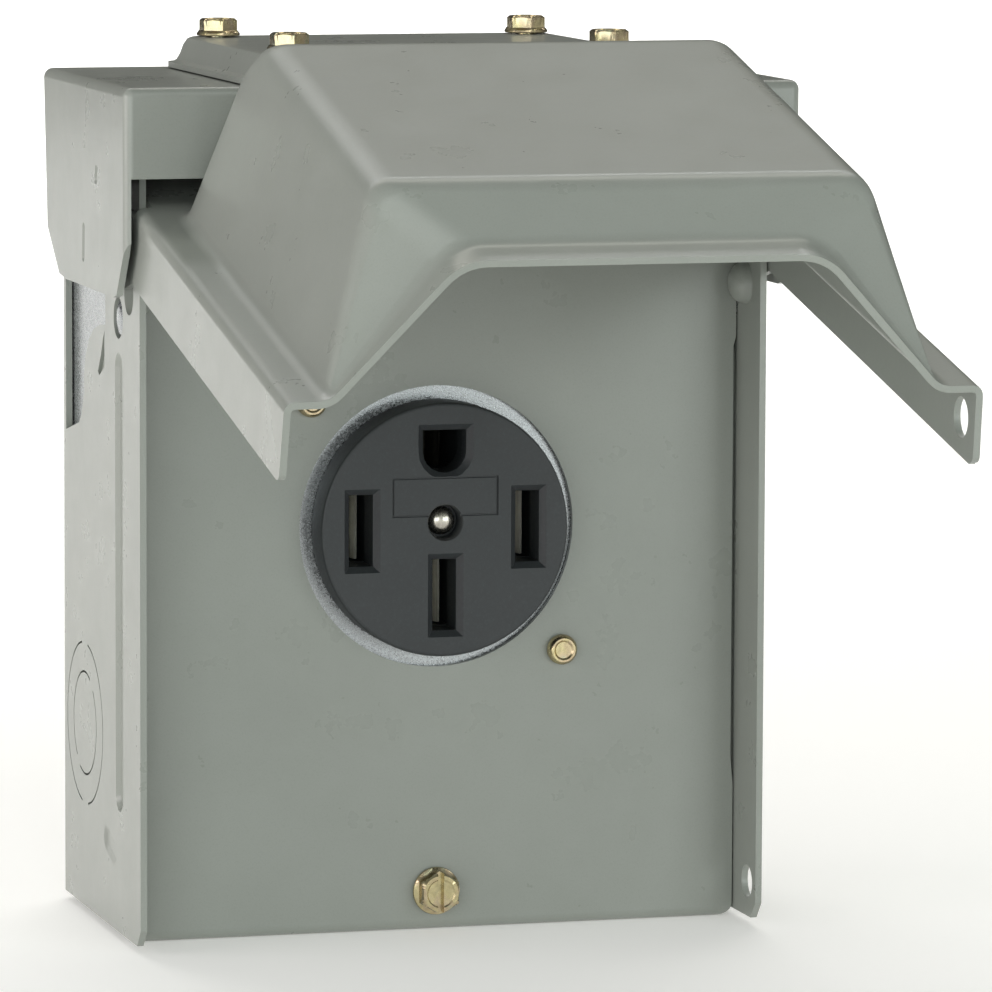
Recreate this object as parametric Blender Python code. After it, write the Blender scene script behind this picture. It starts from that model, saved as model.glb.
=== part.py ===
# Outdoor power outlet box: folded sheet-metal enclosure, rain cap, lift-up hood,
# dead-front panel and a four-wire flush receptacle. Metres, +Z up, front faces -Y.
import bpy, bmesh, math
import numpy as np
from mathutils import Vector

for o in list(bpy.data.objects):
    bpy.data.objects.remove(o, do_unlink=True)
for m in list(bpy.data.meshes):
    bpy.data.meshes.remove(m)

MM = 0.001

# ---------------------------------------------------------------- dimensions (mm)
SHEET = 1.4                 # painted sheet thickness
BODY_HALF_W = 68.0          # outside of the side walls
BODY_DEPTH = 75.4           # front edge of the side flanges (y=0) to the back
BODY_TOP = 178.3
BODY_CORNER_R = 2.0
FLANGE_CHAMFER = (3.3, 3.7)
PANEL_Y = 15.5              # front face of the dead-front panel
PANEL_HALF_W = 66.3
PANEL_BOTTOM = -1.7
PANEL_TOP = 152.0
PANEL_FLANGE_Y = 30.0
PANEL_HOLE_R = 30.0
RECEPT_Z = 85.0             # receptacle axis height
FACE_R = 27.0
FACE_Y = 8.5
STRAP_Y = 17.2
STRAP_T = 1.4
STRAP_R = 33.0
EAR = (27.6, 27.2)          # strap screws, diagonal offset from the receptacle axis
CAP_HALF_W = 72.8
CAP_FRONT = -7.5
CAP_BACK = 71.0
CAP_TOP = 180.0
CAP_FLANGE_Z = 161.3
CAP_END_Z = 136.2
HUB_C = (-1.6, 31.6)
HUB_SCREW = (34.5, 31.4)
HUB_HALF = (45.5, 38.0)
HUB_FLARE_Y = 0.3          # front and rear flares are tighter than the sides
HUB_BASE_Z = 180.3
HUB_TOP_Z = 186.7
HUB_T = 1.2
PIVOT = (12.7, 142.9)       # y, z of the hood pivots
HOOD_OPEN = math.radians(12.3)    # hood rim below horizontal as shown
HOOD_SWING = math.radians(77.7)   # swing from open to closed
HOOD_HALF_W = 69.8
HOOD_RIM_N = 15.5
HOOD_BEND = 2.4             # outer radius along the arm's top bend
HOOD_ARM_LOW = -0.8
PADLOCK_R = 3.6
PADLOCK = (6.0, 7.5)        # y, z of the flange hole
COVER_SCREW_Z = 6.8
ORIGIN = (0.0, 75.4, 90.0)   # row origin: middle of the back face, seen from the flange front and wall bottom
KO_C = (53.3, 39.9)
KO_R = (17.45, 11.1)
KO_SLOT = 0.45


# ---------------------------------------------------------------- materials
def mat(name, rgb, metal, rough, coat=0.0):
    m = bpy.data.materials.get(name) or bpy.data.materials.new(name)
    m.use_nodes = True
    b = m.node_tree.nodes["Principled BSDF"]
    b.inputs["Base Color"].default_value = (*rgb, 1)
    b.inputs["Metallic"].default_value = metal
    b.inputs["Roughness"].default_value = rough
    b.inputs["Coat Weight"].default_value = coat
    m.diffuse_color = (*rgb, 1)
    return m


PAINT = mat("painted_grey_green", (0.36, 0.40, 0.35), 0.0, 0.42, 0.2)
GALV = mat("galvanised_steel", (0.55, 0.58, 0.60), 0.9, 0.42)
ZINC = mat("yellow_zinc", (0.62, 0.50, 0.26), 0.95, 0.3)
BLACK = mat("black_thermoset", (0.035, 0.037, 0.04), 0.0, 0.48)
BRASS = mat("brass_contact", (0.70, 0.52, 0.25), 0.95, 0.3)
ALU = mat("tinned_aluminium", (0.66, 0.66, 0.66), 0.9, 0.36)
STEEL = mat("steel_screw", (0.58, 0.57, 0.55), 0.95, 0.3)
GREEN = mat("green_ground_screw", (0.06, 0.28, 0.12), 0.5, 0.35)


# ---------------------------------------------------------------- mesh helpers
def obj_from(name, verts, faces, material=None, smooth=False):
    me = bpy.data.meshes.new(name)
    me.from_pydata([tuple(MM * c for c in v) for v in verts], [], faces)
    me.validate()
    bm = bmesh.new()
    bm.from_mesh(me)
    bmesh.ops.remove_doubles(bm, verts=bm.verts, dist=1e-6)
    bmesh.ops.recalc_face_normals(bm, faces=bm.faces)
    if bm.calc_volume(signed=True) < 0:
        bmesh.ops.reverse_faces(bm, faces=bm.faces)
    bm.to_mesh(me)
    bm.free()
    o = bpy.data.objects.new(name, me)
    bpy.context.scene.collection.objects.link(o)
    if material:
        me.materials.append(material)
    if smooth:
        shade(o, 35)
    return o


def shade(o, angle=35):
    me = o.data
    for p in me.polygons:
        p.use_smooth = True
    bm = bmesh.new()
    bm.from_mesh(me)
    lim = math.radians(angle)
    for e in bm.edges:
        e.smooth = not (len(e.link_faces) != 2 or e.calc_face_angle(0) > lim)
    bm.to_mesh(me)
    bm.free()


def prism(name, pts, axis, a, b, material=None):
    """Closed prism: pts are 2-D in the plane normal to axis, extruded a..b."""
    n = len(pts)

    def p3(p, h):
        if axis == "X":
            return (h, p[0], p[1])
        if axis == "Y":
            return (p[0], h, p[1])
        return (p[0], p[1], h)
    v = [p3(p, a) for p in pts] + [p3(p, b) for p in pts]
    f = [tuple(range(n))[::-1], tuple(range(n, 2 * n))]
    f += [(i, (i + 1) % n, n + (i + 1) % n, n + i) for i in range(n)]
    return obj_from(name, v, f, material)


def box(name, x, y, z, material=None):
    return prism(name, [(x[0], y[0]), (x[1], y[0]), (x[1], y[1]), (x[0], y[1])], "Z", z[0], z[1], material)


def loft(name, rings, material=None, smooth=True):
    """Rings of equal length, capped at both ends."""
    n = len(rings[0])
    v = [p for r in rings for p in r]
    f = [tuple(range(n))[::-1]]
    for k in range(len(rings) - 1):
        for i in range(n):
            j = (i + 1) % n
            f.append((k * n + i, k * n + j, (k + 1) * n + j, (k + 1) * n + i))
    m = (len(rings) - 1) * n
    f.append(tuple(range(m, m + n)))
    return obj_from(name, v, f, material, smooth)


def orient(p, h, axis, c):
    """Local ring point p=(u,v) at height h to world, axis tells where h points."""
    u, v = p
    if axis == "+X":
        return (c[0] + h, c[1] + u, c[2] + v)
    if axis == "-X":
        return (c[0] - h, c[1] - u, c[2] + v)
    if axis == "+Y":
        return (c[0] - u, c[1] + h, c[2] + v)
    if axis == "-Y":
        return (c[0] + u, c[1] - h, c[2] + v)
    if axis == "-Z":
        return (c[0] - u, c[1] + v, c[2] - h)
    return (c[0] + u, c[1] + v, c[2] + h)


def circ(r, n=24, ph=0.0):
    return [(r * math.cos(ph + 2 * math.pi * i / n), r * math.sin(ph + 2 * math.pi * i / n)) for i in range(n)]


def hexring(af, n=24, k=1.0):
    r = af / 2
    out = []
    for i in range(n):
        a = 2 * math.pi * i / n
        b = (a + math.pi / 6) % (math.pi / 3) - math.pi / 6
        d = r / math.cos(b)
        d = min(d, r * k) if k > 1.0 else d
        out.append((d * math.cos(a), d * math.sin(a)))
    return out


def turned(name, prof, axis, c, n=24, material=None, smooth=True):
    """prof: list of (radius, height)."""
    rings = [[orient(p, h, axis, c) for p in circ(r, n)] for r, h in prof]
    return loft(name, rings, material, smooth)


def boolean(o, cutter, op="DIFFERENCE", keep=False):
    m = o.modifiers.new("b", "BOOLEAN")
    m.operation = op
    m.solver = "EXACT"
    m.object = cutter
    dg = bpy.context.evaluated_depsgraph_get()
    dg.update()
    me = bpy.data.meshes.new_from_object(o.evaluated_get(dg))
    o.modifiers.clear()
    old = o.data
    mats = [s for s in old.materials]
    o.data = me
    me.materials.clear()
    for s in mats[:1]:
        me.materials.append(s)
    for p in me.polygons:
        p.material_index = 0
    bpy.data.meshes.remove(old)
    if not keep:
        bpy.data.objects.remove(cutter, do_unlink=True)
    return o


def tidy(o, dist=2e-6):
    bm = bmesh.new()
    bm.from_mesh(o.data)
    bmesh.ops.remove_doubles(bm, verts=bm.verts, dist=dist)
    bmesh.ops.dissolve_degenerate(bm, edges=bm.edges, dist=1e-6)
    bm.to_mesh(o.data)
    bm.free()
    return o


def cyl(axis, c, r, h, n=24):
    return turned("cut", [(r, 0), (r, h)], axis, c, n, None, False)


def slab(u0, u1, axis, a, b):
    return prism("cut", [(u0[0], u1[0]), (u0[1], u1[0]), (u0[1], u1[1]), (u0[0], u1[1])], axis, a, b)


def obround(p0, p1, w, n=8):
    """Outline round the segment p0-p1."""
    dx, dy = p1[0] - p0[0], p1[1] - p0[1]
    a = math.atan2(dy, dx)
    out = []
    for k in range(n + 1):
        t = a - math.pi / 2 + math.pi * k / n
        out.append((p1[0] + w * math.cos(t), p1[1] + w * math.sin(t)))
    for k in range(n + 1):
        t = a + math.pi / 2 + math.pi * k / n
        out.append((p0[0] + w * math.cos(t), p0[1] + w * math.sin(t)))
    return out


def boss(p0, p1, levels, n=8):
    """Loft of obrounds in the YZ plane: levels are (x, half width)."""
    rings = [[(x, p[0], p[1]) for p in obround(p0, p1, w, n)] for x, w in levels]
    return loft("cut", rings, None, False)


def arc_slot(c, r, w, a0, a1, n, x0, x1, axis="X"):
    """Cutter for a thin curved slot."""
    pts = []
    for k in range(n + 1):
        a = a0 + (a1 - a0) * k / n
        pts.append((c[0] + (r + w / 2) * math.cos(a), c[1] + (r + w / 2) * math.sin(a)))
    for k in range(n, -1, -1):
        a = a0 + (a1 - a0) * k / n
        pts.append((c[0] + (r - w / 2) * math.cos(a), c[1] + (r - w / 2) * math.sin(a)))
    return prism("cut", pts, axis, x0, x1)


def fillet(pts, r, n=3):
    """Round the corners of a closed 2-D polygon; r is a number or a list."""
    out = []
    m = len(pts)
    for i in range(m):
        rr = r[i] if isinstance(r, (list, tuple)) else r
        p = np.array(pts[i], float)
        a = np.array(pts[i - 1], float) - p
        b = np.array(pts[(i + 1) % m], float) - p
        if rr <= 0:
            out.append(tuple(p))
            continue
        la, lb = np.linalg.norm(a), np.linalg.norm(b)
        a, b = a / la, b / lb
        half = math.acos(max(-1, min(1, float(a @ b)))) / 2
        d = rr / math.tan(half)
        p0, p1 = p + a * d, p + b * d
        cen = p + (a + b) / np.linalg.norm(a + b) * (rr / math.sin(half))
        v0, v1 = p0 - cen, p1 - cen
        t0, t1 = math.atan2(v0[1], v0[0]), math.atan2(v1[1], v1[0])
        dt = (t1 - t0 + math.pi) % (2 * math.pi) - math.pi
        for k in range(n + 1):
            t = t0 + dt * k / n
            out.append((cen[0] + rr * math.cos(t), cen[1] + rr * math.sin(t)))
    return out


# ---------------------------------------------------------------- enclosure body
def build_body():
    w, d, t, r = BODY_HALF_W, BODY_DEPTH, SHEET, BODY_CORNER_R
    outline = [(-w, 0), (-w, d), (w, d), (w, 0), (w - t, 0), (w - t, d - t), (-w + t, d - t), (-w + t, 0)]
    rad = [0, r, r, 0, 0, r - t, r - t, 0]
    o = prism("enclosure_body", fillet(outline, rad, 4), "Z", 0.0, BODY_TOP, PAINT)
    cy, cz = FLANGE_CHAMFER
    for lo, hi in ((-w - 2, -w + 3), (w - 3, w + 2)):
        boolean(o, prism("cut", [(-1, -1), (cy, -1), (cy, 0), (0, cz), (-1, cz)], "X", lo, hi))
        boolean(o, prism("cut", [(-1, BODY_TOP + 1), (-1, BODY_TOP - 12), (0, BODY_TOP - 12), (9, BODY_TOP + 0.0), (9, BODY_TOP + 1)], "X", lo, hi))
        # window at the upper rear of the wall
        win = [(32.4, 140.0), (32.4, 127.8), (38.0, 127.3), (44.0, 125.9), (48.5, 123.3), (52.0, 119.3),
               (53.6, 115.0), (53.2, 111.6), (56.3, 106.2), (58.6, 104.4), (71.5, 101.6), (71.5, 140.0)]
        boolean(o, prism("cut", win, "X", lo, hi))
    for s in (-1, 1):
        # vertical bead, pressed inward
        boolean(o, boss((19.65, 29.4), (19.65, 119.6), [(s * (w + 0.5), 3.95), (s * w, 3.55), (s * (w - 0.9), 2.3)]))
        boolean(o, boss((19.65, 29.4), (19.65, 119.6), [(s * (w - t + 0.3), 2.45), (s * (w - t), 2.4), (s * (w - t - 0.9), 1.5)]), "UNION")
        # crease left beside the rear window
        boolean(o, prism("cut", [(33.3, 126.6), (34.4, 124.9), (36.8, 121.0), (39.6, 117.3), (38.4, 116.5), (33.3, 118.8)], "X", min(s * (w - 0.8), s * (w + 1)), max(s * (w - 0.8), s * (w + 1))))
        # round retaining dimple
        dome = [(w - t + 0.3, 4.65), (w - t, 4.6), (w - t - 1.2, 4.35), (w - t - 2.3, 3.7), (w - t - 3.2, 2.5), (w - t - 3.6, 1.1)]
        cup = [(w + 0.4, 4.5), (w, 4.2), (w - 0.8, 3.95), (w - 2.0, 3.3), (w - 2.9, 2.2), (w - 3.3, 0.9)]
        boolean(o, boss((10.0, 135.95), (10.0, 136.05), [(s * x, r) for x, r in dome], 8), "UNION")
        boolean(o, boss((10.0, 135.95), (10.0, 136.05), [(s * x, r) for x, r in cup], 8))
        # small lance mark near the bottom
        boolean(o, boss((25.0, 16.2), (32.0, 18.4), [(s * (w + 0.4), 3.1), (s * w, 2.8), (s * (w - 0.55), 1.5)], 6))
        # hole showing the bracket, and the pivot hole
        boolean(o, cyl("+X" if s > 0 else "-X", (s * (w - 3), 20.0, 130.4), 4.4, 6, 24))
        boolean(o, cyl("+X" if s > 0 else "-X", (s * (w - 3), PIVOT[0], PIVOT[1]), 1.8, 6, 20))
        # concentric knockout, held by tabs
        for k, (rr, off) in enumerate(zip(KO_R, (0.0, math.radians(35)))):
            for q in range(2):
                a0 = math.pi * q - math.pi / 2 + math.radians(9) + off
                a1 = a0 + math.pi - math.radians(18)
                boolean(o, arc_slot(KO_C, rr, KO_SLOT, a0, a1, 16, s * w - 2.5, s * w + 2.5))
    # padlock hole, right flange only
    boolean(o, cyl("+X", (w - 4, PADLOCK[0], PADLOCK[1]), PADLOCK_R, 8, 24))
    # wall fixing holes in the back
    for x, z in ((-45, 160), (45, 160), (-45, 16), (45, 16)):
        boolean(o, cyl("+Y", (x, d - 4, z), 2.9, 8, 20))
    # hole for the ground lug screw
    boolean(o, cyl("+Y", (-38, d - 4, 40), 1.9, 8, 16))
    tidy(o)
    shade(o, 30)
    return o


def build_bottom():
    o = prism("bottom_end_plate", [(17.3, 0.2), (74.0 - 0.3, 0.2), (73.7, 1.6), (18.7, 1.6), (18.7, 15.0), (17.3, 15.0)],
              "X", -BODY_HALF_W + SHEET + 0.3, BODY_HALF_W - SHEET - 0.3, PAINT)
    # front lip keeps only a centre tab and lets the panel flange pass
    boolean(o, slab((-70, -16), (2.2, 20), "Y", 16, 20))
    boolean(o, slab((16, 70), (2.2, 20), "Y", 16, 20))
    boolean(o, cyl("+Y", (0, 15, COVER_SCREW_Z), 2.2, 6, 20))
    for rr, off in zip(KO_R, (0.0, math.radians(35))):
        for q in range(2):
            a0 = math.pi * q - math.pi / 2 + math.radians(9) + off
            a1 = a0 + math.pi - math.radians(18)
            boolean(o, arc_slot((0, 46), rr, KO_SLOT, a0, a1, 16, -2, 4, "Z"))
    tidy(o)
    shade(o, 30)
    return o


def build_bracket(s):
    x0 = s * (BODY_HALF_W - SHEET - 0.3)
    x1 = x0 - s * 1.2
    pts = [(17.4, 150.0), (17.4, 126.0), (26.5, 121.0), (30.0, 112.0), (48.0, 100.0), (58.0, 97.0), (73.6, 97.0), (73.6, 150.0)]
    o = prism("hinge_bracket_" + ("right" if s > 0 else "left"), pts, "X", min(x0, x1), max(x0, x1), GALV)
    prof = [(2.4, -0.6), (2.4, 0.35), (4.0, 0.35), (4.0, 0.9), (3.5, 1.3), (2.2, 1.55), (0.8, 1.65)]
    boolean(o, turned("cut", prof, "+X" if s > 0 else "-X", (x0, 20.0, 130.4), 24, None, False), "UNION")
    tidy(o)
    shade(o, 30)
    return o


# ---------------------------------------------------------------- dead-front panel
def build_panel():
    t = SHEET
    y0, y1 = PANEL_Y, PANEL_Y + t
    zb, zt = PANEL_BOTTOM, PANEL_TOP
    prof = [(y0, zb), (y0, zt), (PANEL_FLANGE_Y, zt), (PANEL_FLANGE_Y, zt - t), (y1, zt - t), (y1, zb + t),
            (PANEL_FLANGE_Y, zb + t), (PANEL_FLANGE_Y, zb)]
    rad = [2.4, 2.4, 0, 0, 1.0, 1.0, 0, 0]
    o = prism("dead_front_panel", fillet(prof, rad, 5), "X", -PANEL_HALF_W, PANEL_HALF_W, PAINT)
    w = PANEL_HALF_W
    for s in (-1, 1):
        # bottom corner relief, rounded in front view, flange shortened
        c = [(s * (w + 1), -4), (s * (w + 1), 1.2), (s * (w - 0.0), 1.2)]
        for k in range(1, 7):
            a = math.pi / 2 * k / 6
            c.append((s * (w - 3.6 * (1 - math.cos(a))), 1.2 - 2.95 * math.sin(a)))
        c += [(s * (w - 3.6), -4)]
        boolean(o, prism("cut", c, "Y", PANEL_Y - 2, PANEL_FLANGE_Y + 3))
    # long side relief on the right edge
    boolean(o, prism("cut", [(w + 1, 27), (w, 27), (w - 0.55, 33), (w - 0.55, 122), (w, 124), (w + 1, 124)], "Y", PANEL_Y - 2, PANEL_Y + 3))
    boolean(o, cyl("+Y", (0, PANEL_Y - 3, RECEPT_Z), PANEL_HOLE_R, 8, 64))
    for s in (-1, 1):
        boolean(o, cyl("+Y", (s * EAR[0], PANEL_Y - 3, RECEPT_Z - s * EAR[1]), 2.3, 8, 20))
    boolean(o, cyl("+Y", (0, PANEL_Y - 3, COVER_SCREW_Z), 2.4, 8, 20))
    tidy(o)
    shade(o, 30)
    return o


# ---------------------------------------------------------------- rain cap
def build_cap():
    t, w = SHEET, CAP_HALF_W

    def shell(hw, y0, y1, z0, z1, r, name):
        ring = []
        # lofted in X: section in YZ with a rounded top front edge, ends rounded at the top
        o = box(name, (-hw, hw), (y0, y1), (z0, z1), PAINT)
        bm = bmesh.new()
        bm.from_mesh(o.data)
        es = []
        for e in bm.edges:
            a, b = e.verts[0].co / MM, e.verts[1].co / MM
            top = abs(a.z - z1) < 1e-3 and abs(b.z - z1) < 1e-3
            front = abs(a.y - y0) < 1e-3 and abs(b.y - y0) < 1e-3
            side = abs(abs(a.x) - hw) < 1e-3 and abs(abs(b.x) - hw) < 1e-3 and abs(a.x - b.x) < 1e-3
            if (top and front) or (top and side) or (front and side):
                es.append(e)
        bmesh.ops.bevel(bm, geom=es, offset=r * MM, segments=4, profile=0.5, affect="EDGES")
        bm.to_mesh(o.data)
        bm.free()
        return o
    o = shell(w, CAP_FRONT, 90, 110, CAP_TOP, 2.0, "rain_cap")
    inner = shell(w - t, CAP_FRONT + t, 95, 100, CAP_TOP - t, 0.7, "cut")
    boolean(o, inner)
    # front flange stops above the hood
    boolean(o, box("cut", (-(w - t), w - t), (-12, 0), (90, CAP_FLANGE_Z)))
    # end flange outline and the back
    cut = [(-20, 100), (-20, 148.0), (-7.3, 148.0), (-6.0, 145.6), (0.3, 136.9), (3.0, CAP_END_Z), (48.9, CAP_END_Z), (55.9, 136.9),
           (67.6, 146.1), (70.6, 176.0), (CAP_BACK - 0.2, 178.0), (CAP_BACK - 0.2, 200), (120, 200), (120, 100)]
    boolean(o, prism("cut", cut, "X", -90, 90))
    # hub opening and its four screw holes
    boolean(o, cyl("+Z", (HUB_C[0], HUB_C[1], CAP_TOP - 4), 22.5, 8, 40))
    for sx in (-1, 1):
        for sy in (-1, 1):
            boolean(o, cyl("+Z", (HUB_C[0] + sx * HUB_SCREW[0], HUB_C[1] + sy * HUB_SCREW[1], CAP_TOP - 4), 2.0, 8, 16))
    # weld dimples that bridge to the side walls
    for s in (-1, 1):
        for y, z in ((19.7, 160.5), (32.0, 145.4)):
            boolean(o, boss((y, z - 0.05), (y, z + 0.05), [(s * (w - t + 0.2), 3.3), (s * (w - t), 3.2), (s * (BODY_HALF_W + 0.3), 2.0)], 6), "UNION")
            h = 0.9 if z > 150 else 3.0
            boolean(o, boss((y, z - h), (y - 0.4, z + h), [(s * (w + 0.3), 1.35), (s * w, 1.2), (s * (w - 0.75), 0.4)], 6))
    tidy(o)
    shade(o, 30)
    return o


# ---------------------------------------------------------------- hub closing plate and screws
def rrect(hx, hy, r, n=5):
    pts = fillet([(-hx, -hy), (hx, -hy), (hx, hy), (-hx, hy)], r, n)
    return pts


def build_hub_plate():
    cx, cy = HUB_C
    hx, hy = HUB_HALF

    def ring(inset, z, r):
        return [(cx + p[0], cy + p[1], z) for p in rrect(hx - inset, hy - inset * HUB_FLARE_Y, max(r - inset * 0.8, 1.0), 5)]
    b, tp, t = HUB_BASE_Z, HUB_TOP_Z, HUB_T
    R = 7.0
    up = [(0.0, b + t), (1.0, b + t), (2.0, b + t + 0.4), (2.9, b + t + 1.7), (3.7, tp - 1.6), (4.7, tp - 0.35), (6.0, tp)]
    lo = [(7.2, tp - t), (5.9, tp - t - 0.35), (4.9, tp - t - 1.6), (4.1, b + 1.5), (3.2, b + 0.4), (2.2, b), (0.0, b)]
    rings = [ring(i, z, R) for i, z in lo] + [ring(i, z, R) for i, z in up]
    o = loft("hub_closing_plate", rings, PAINT, False)
    for sx in (-1, 1):
        for sy in (-1, 1):
            boolean(o, cyl("+Z", (cx + sx * HUB_SCREW[0], cy + sy * HUB_SCREW[1], tp - 4), 2.5, 8, 16))
    tidy(o)
    shade(o, 30)
    return o


def hex_screw(name, axis, c, af, flange_r, flange_h, head_h, shank_r, shank_l, material, slot=None):
    n = 24
    k = 1.08
    rings = []

    def add(ring, h):
        rings.append([orient(p, h, axis, c) for p in ring])
    add(circ(shank_r * 0.7, n), -shank_l)
    add(circ(shank_r, n), -shank_l + 0.5)
    add(circ(shank_r, n), 0.0)
    add(circ(flange_r - 0.15, n), 0.0)
    add(circ(flange_r, n), 0.2)
    add(circ(flange_r - 0.1, n), flange_h * 0.7)
    add(hexring(af + 0.5, n), flange_h)
    add(hexring(af, n), flange_h + 0.25)
    add(hexring(af, n), head_h - 0.45)
    add(circ(af / 2 - 0.15, n), head_h)
    add(circ(af / 2 - 0.9, n), head_h)
    add(circ(af / 2 - 1.2, n), head_h - 0.25)
    o = loft(name, rings, material, False)
    if slot:
        a, d = slot
        if axis == "-Y":
            boolean(o, box("cut", (c[0] - a / 2, c[0] + a / 2), (c[1] - head_h - 1, c[1] - head_h + d), (c[2] - 8, c[2] + 8)))
            tidy(o)
    shade(o, 30)
    return o


# ---------------------------------------------------------------- hood
CA, SA = math.cos(HOOD_OPEN), math.sin(HOOD_OPEN)


def hood_pt(x, s, n):
    """Hood coordinates (across, along from the pivot, up from the arms) to world, open."""
    return (x, PIVOT[0] - s * CA - n * SA, PIVOT[1] - s * SA + n * CA)


def bez(a, b, c, n):
    a, b, c = (np.array(v, float) for v in (a, b, c))
    return [tuple((1 - t) ** 2 * a + 2 * t * (1 - t) * b + t * t * c) for t in np.linspace(0, 1, n)]


def hood_section(base_x, ridge_x, ridge_n, low, base_cut=2.4, ridge_cut=5.5, q=(4, 4, 5)):
    """Half cross-section from the arm's lower edge to the centre: list of (x, n)."""
    N = HOOD_RIM_N
    W = HOOD_HALF_W
    pts = [(W, low), (W, 3.4), (W, 8.6), (W, N - HOOD_BEND)]
    pts += bez((W, N - HOOD_BEND), (W, N), (W - HOOD_BEND, N), q[0])[1:]
    pts += [(66.0, N)]
    b = np.array((base_x, N))
    r = np.array((ridge_x, ridge_n))
    v = (r - b) / np.linalg.norm(r - b)
    L = np.linalg.norm(r - b)
    bc = min(base_cut, L * 0.3)
    rc = min(ridge_cut, L * 0.45)
    pts += bez(b + np.array((min(bc, 65.2 - base_x), 0)), b, b + v * bc, q[1])
    pts += bez(r - v * rc, r, r - np.array((rc, 0)), q[2])
    pts += [(ridge_x * 0.4, ridge_n), (0.0, ridge_n)]
    return pts


def hood_grid(q=(4, 4, 5), rows=4):
    """Outer surface of the hood: list of rows, each a list of (x, s, n) for x >= 0."""
    N = HOOD_RIM_N
    B = 61.0
    # key rows: (section args, s for arm/rim columns, s for ridge/top columns)
    keys = [
        (dict(base_x=B, ridge_x=56.0, ridge_n=N), 13.5, 13.5, 0.0),
        (dict(base_x=B, ridge_x=57.0, ridge_n=N), 18.0, 16.0, 3.5),
        (dict(base_x=B, ridge_x=49.6, ridge_n=55.8), 24.0, 29.0, 7.0),
        (dict(base_x=B, ridge_x=50.0, ridge_n=52.7), 139.4, 122.9, 3.4),
        (dict(base_x=B, ridge_x=36.3, ridge_n=43.4), 141.6, 133.8, 2.2),
        (dict(base_x=B, ridge_x=36.3, ridge_n=42.3), 142.6, 141.2, 0.0),
    ]
    secs = []
    for a, s0, s1, cut in keys:
        sec = hood_section(low=HOOD_ARM_LOW, q=q, **a)
        nb = 4 + (q[0] - 1) + 1 + (q[1] - 1)      # index where the side facet starts
        ne = nb + 1 + (q[2] - 1) // 2             # index of the ridge middle
        row = []
        for i, (x, n) in enumerate(sec):
            t = min(1.0, max(0.0, (i - nb) / (ne - nb)))
            # slide along s with the height of the point
            if a["ridge_n"] > N + 1:
                t = min(1.0, max(0.0, (n - N) / (a["ridge_n"] - N)))
            else:
                t = min(1.0, max(0.0, (i - nb) / max(1, ne - nb)))
            lean = 0.07 * (n - N) if s0 > 100 and n < N else 0.0
            row.append(np.array((x, s0 + (s1 - s0) * t + lean, n)))
        secs.append(row)
    cuts = [k[3] for k in keys]
    cols = len(secs[0])
    out = [[] for _ in range(1)]
    grid = []
    # build each column as a rounded polyline along s
    columns = []
    for c in range(cols):
        P = [secs[k][c] for k in range(len(keys))]
        line = [P[0]]
        for k in range(1, len(P) - 1):
            a, b, d = P[k - 1], P[k], P[k + 1]
            la, lb = np.linalg.norm(a - b), np.linalg.norm(d - b)
            ca = min(cuts[k], la * 0.45)
            cb = min(cuts[k], lb * 0.45)
            line += [np.array(v) for v in bez(b + (a - b) / la * ca, b, b + (d - b) / lb * cb, rows)]
            if k == 2:
                line += [line[-1] * (1 - f) + (d + (b - d) / lb * min(cuts[3], lb * 0.45)) * f for f in (0.33, 0.67)]
        line.append(P[-1])
        columns.append(line)
    nrow = len(columns[0])
    return [[columns[c][r] for c in range(cols)] for r in range(nrow)]


def shell_from(verts, faces, t):
    """Closed solid from an open surface, thickened against the vertex normals."""
    V = np.array(verts, float)
    nrm = np.zeros_like(V)
    cnt = [[] for _ in V]
    for f in faces:
        p = V[list(f)]
        n = np.zeros(3)
        for i in range(len(f)):
            n += np.cross(p[i] - p[0], p[(i + 1) % len(f)] - p[0])
        n /= max(np.linalg.norm(n), 1e-12)
        for i in f:
            nrm[i] += n
            cnt[i].append(n)
    off = np.zeros_like(V)
    for i in range(len(V)):
        n = nrm[i] / max(np.linalg.norm(nrm[i]), 1e-12)
        c = min(float(n @ m) for m in cnt[i])
        off[i] = n * t / max(c, 0.6)
    inner = V - off
    m = len(V)
    edges = {}
    for f in faces:
        for i in range(len(f)):
            a, b = f[i], f[(i + 1) % len(f)]
            edges[(a, b)] = edges.get((a, b), 0) + 1
    F = [tuple(f) for f in faces] + [tuple(i + m for i in f[::-1]) for f in faces]
    for (a, b) in edges:
        if (b, a) not in edges:
            F.append((b, a, a + m, b + m))
    return np.vstack([V, inner]), F


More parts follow.
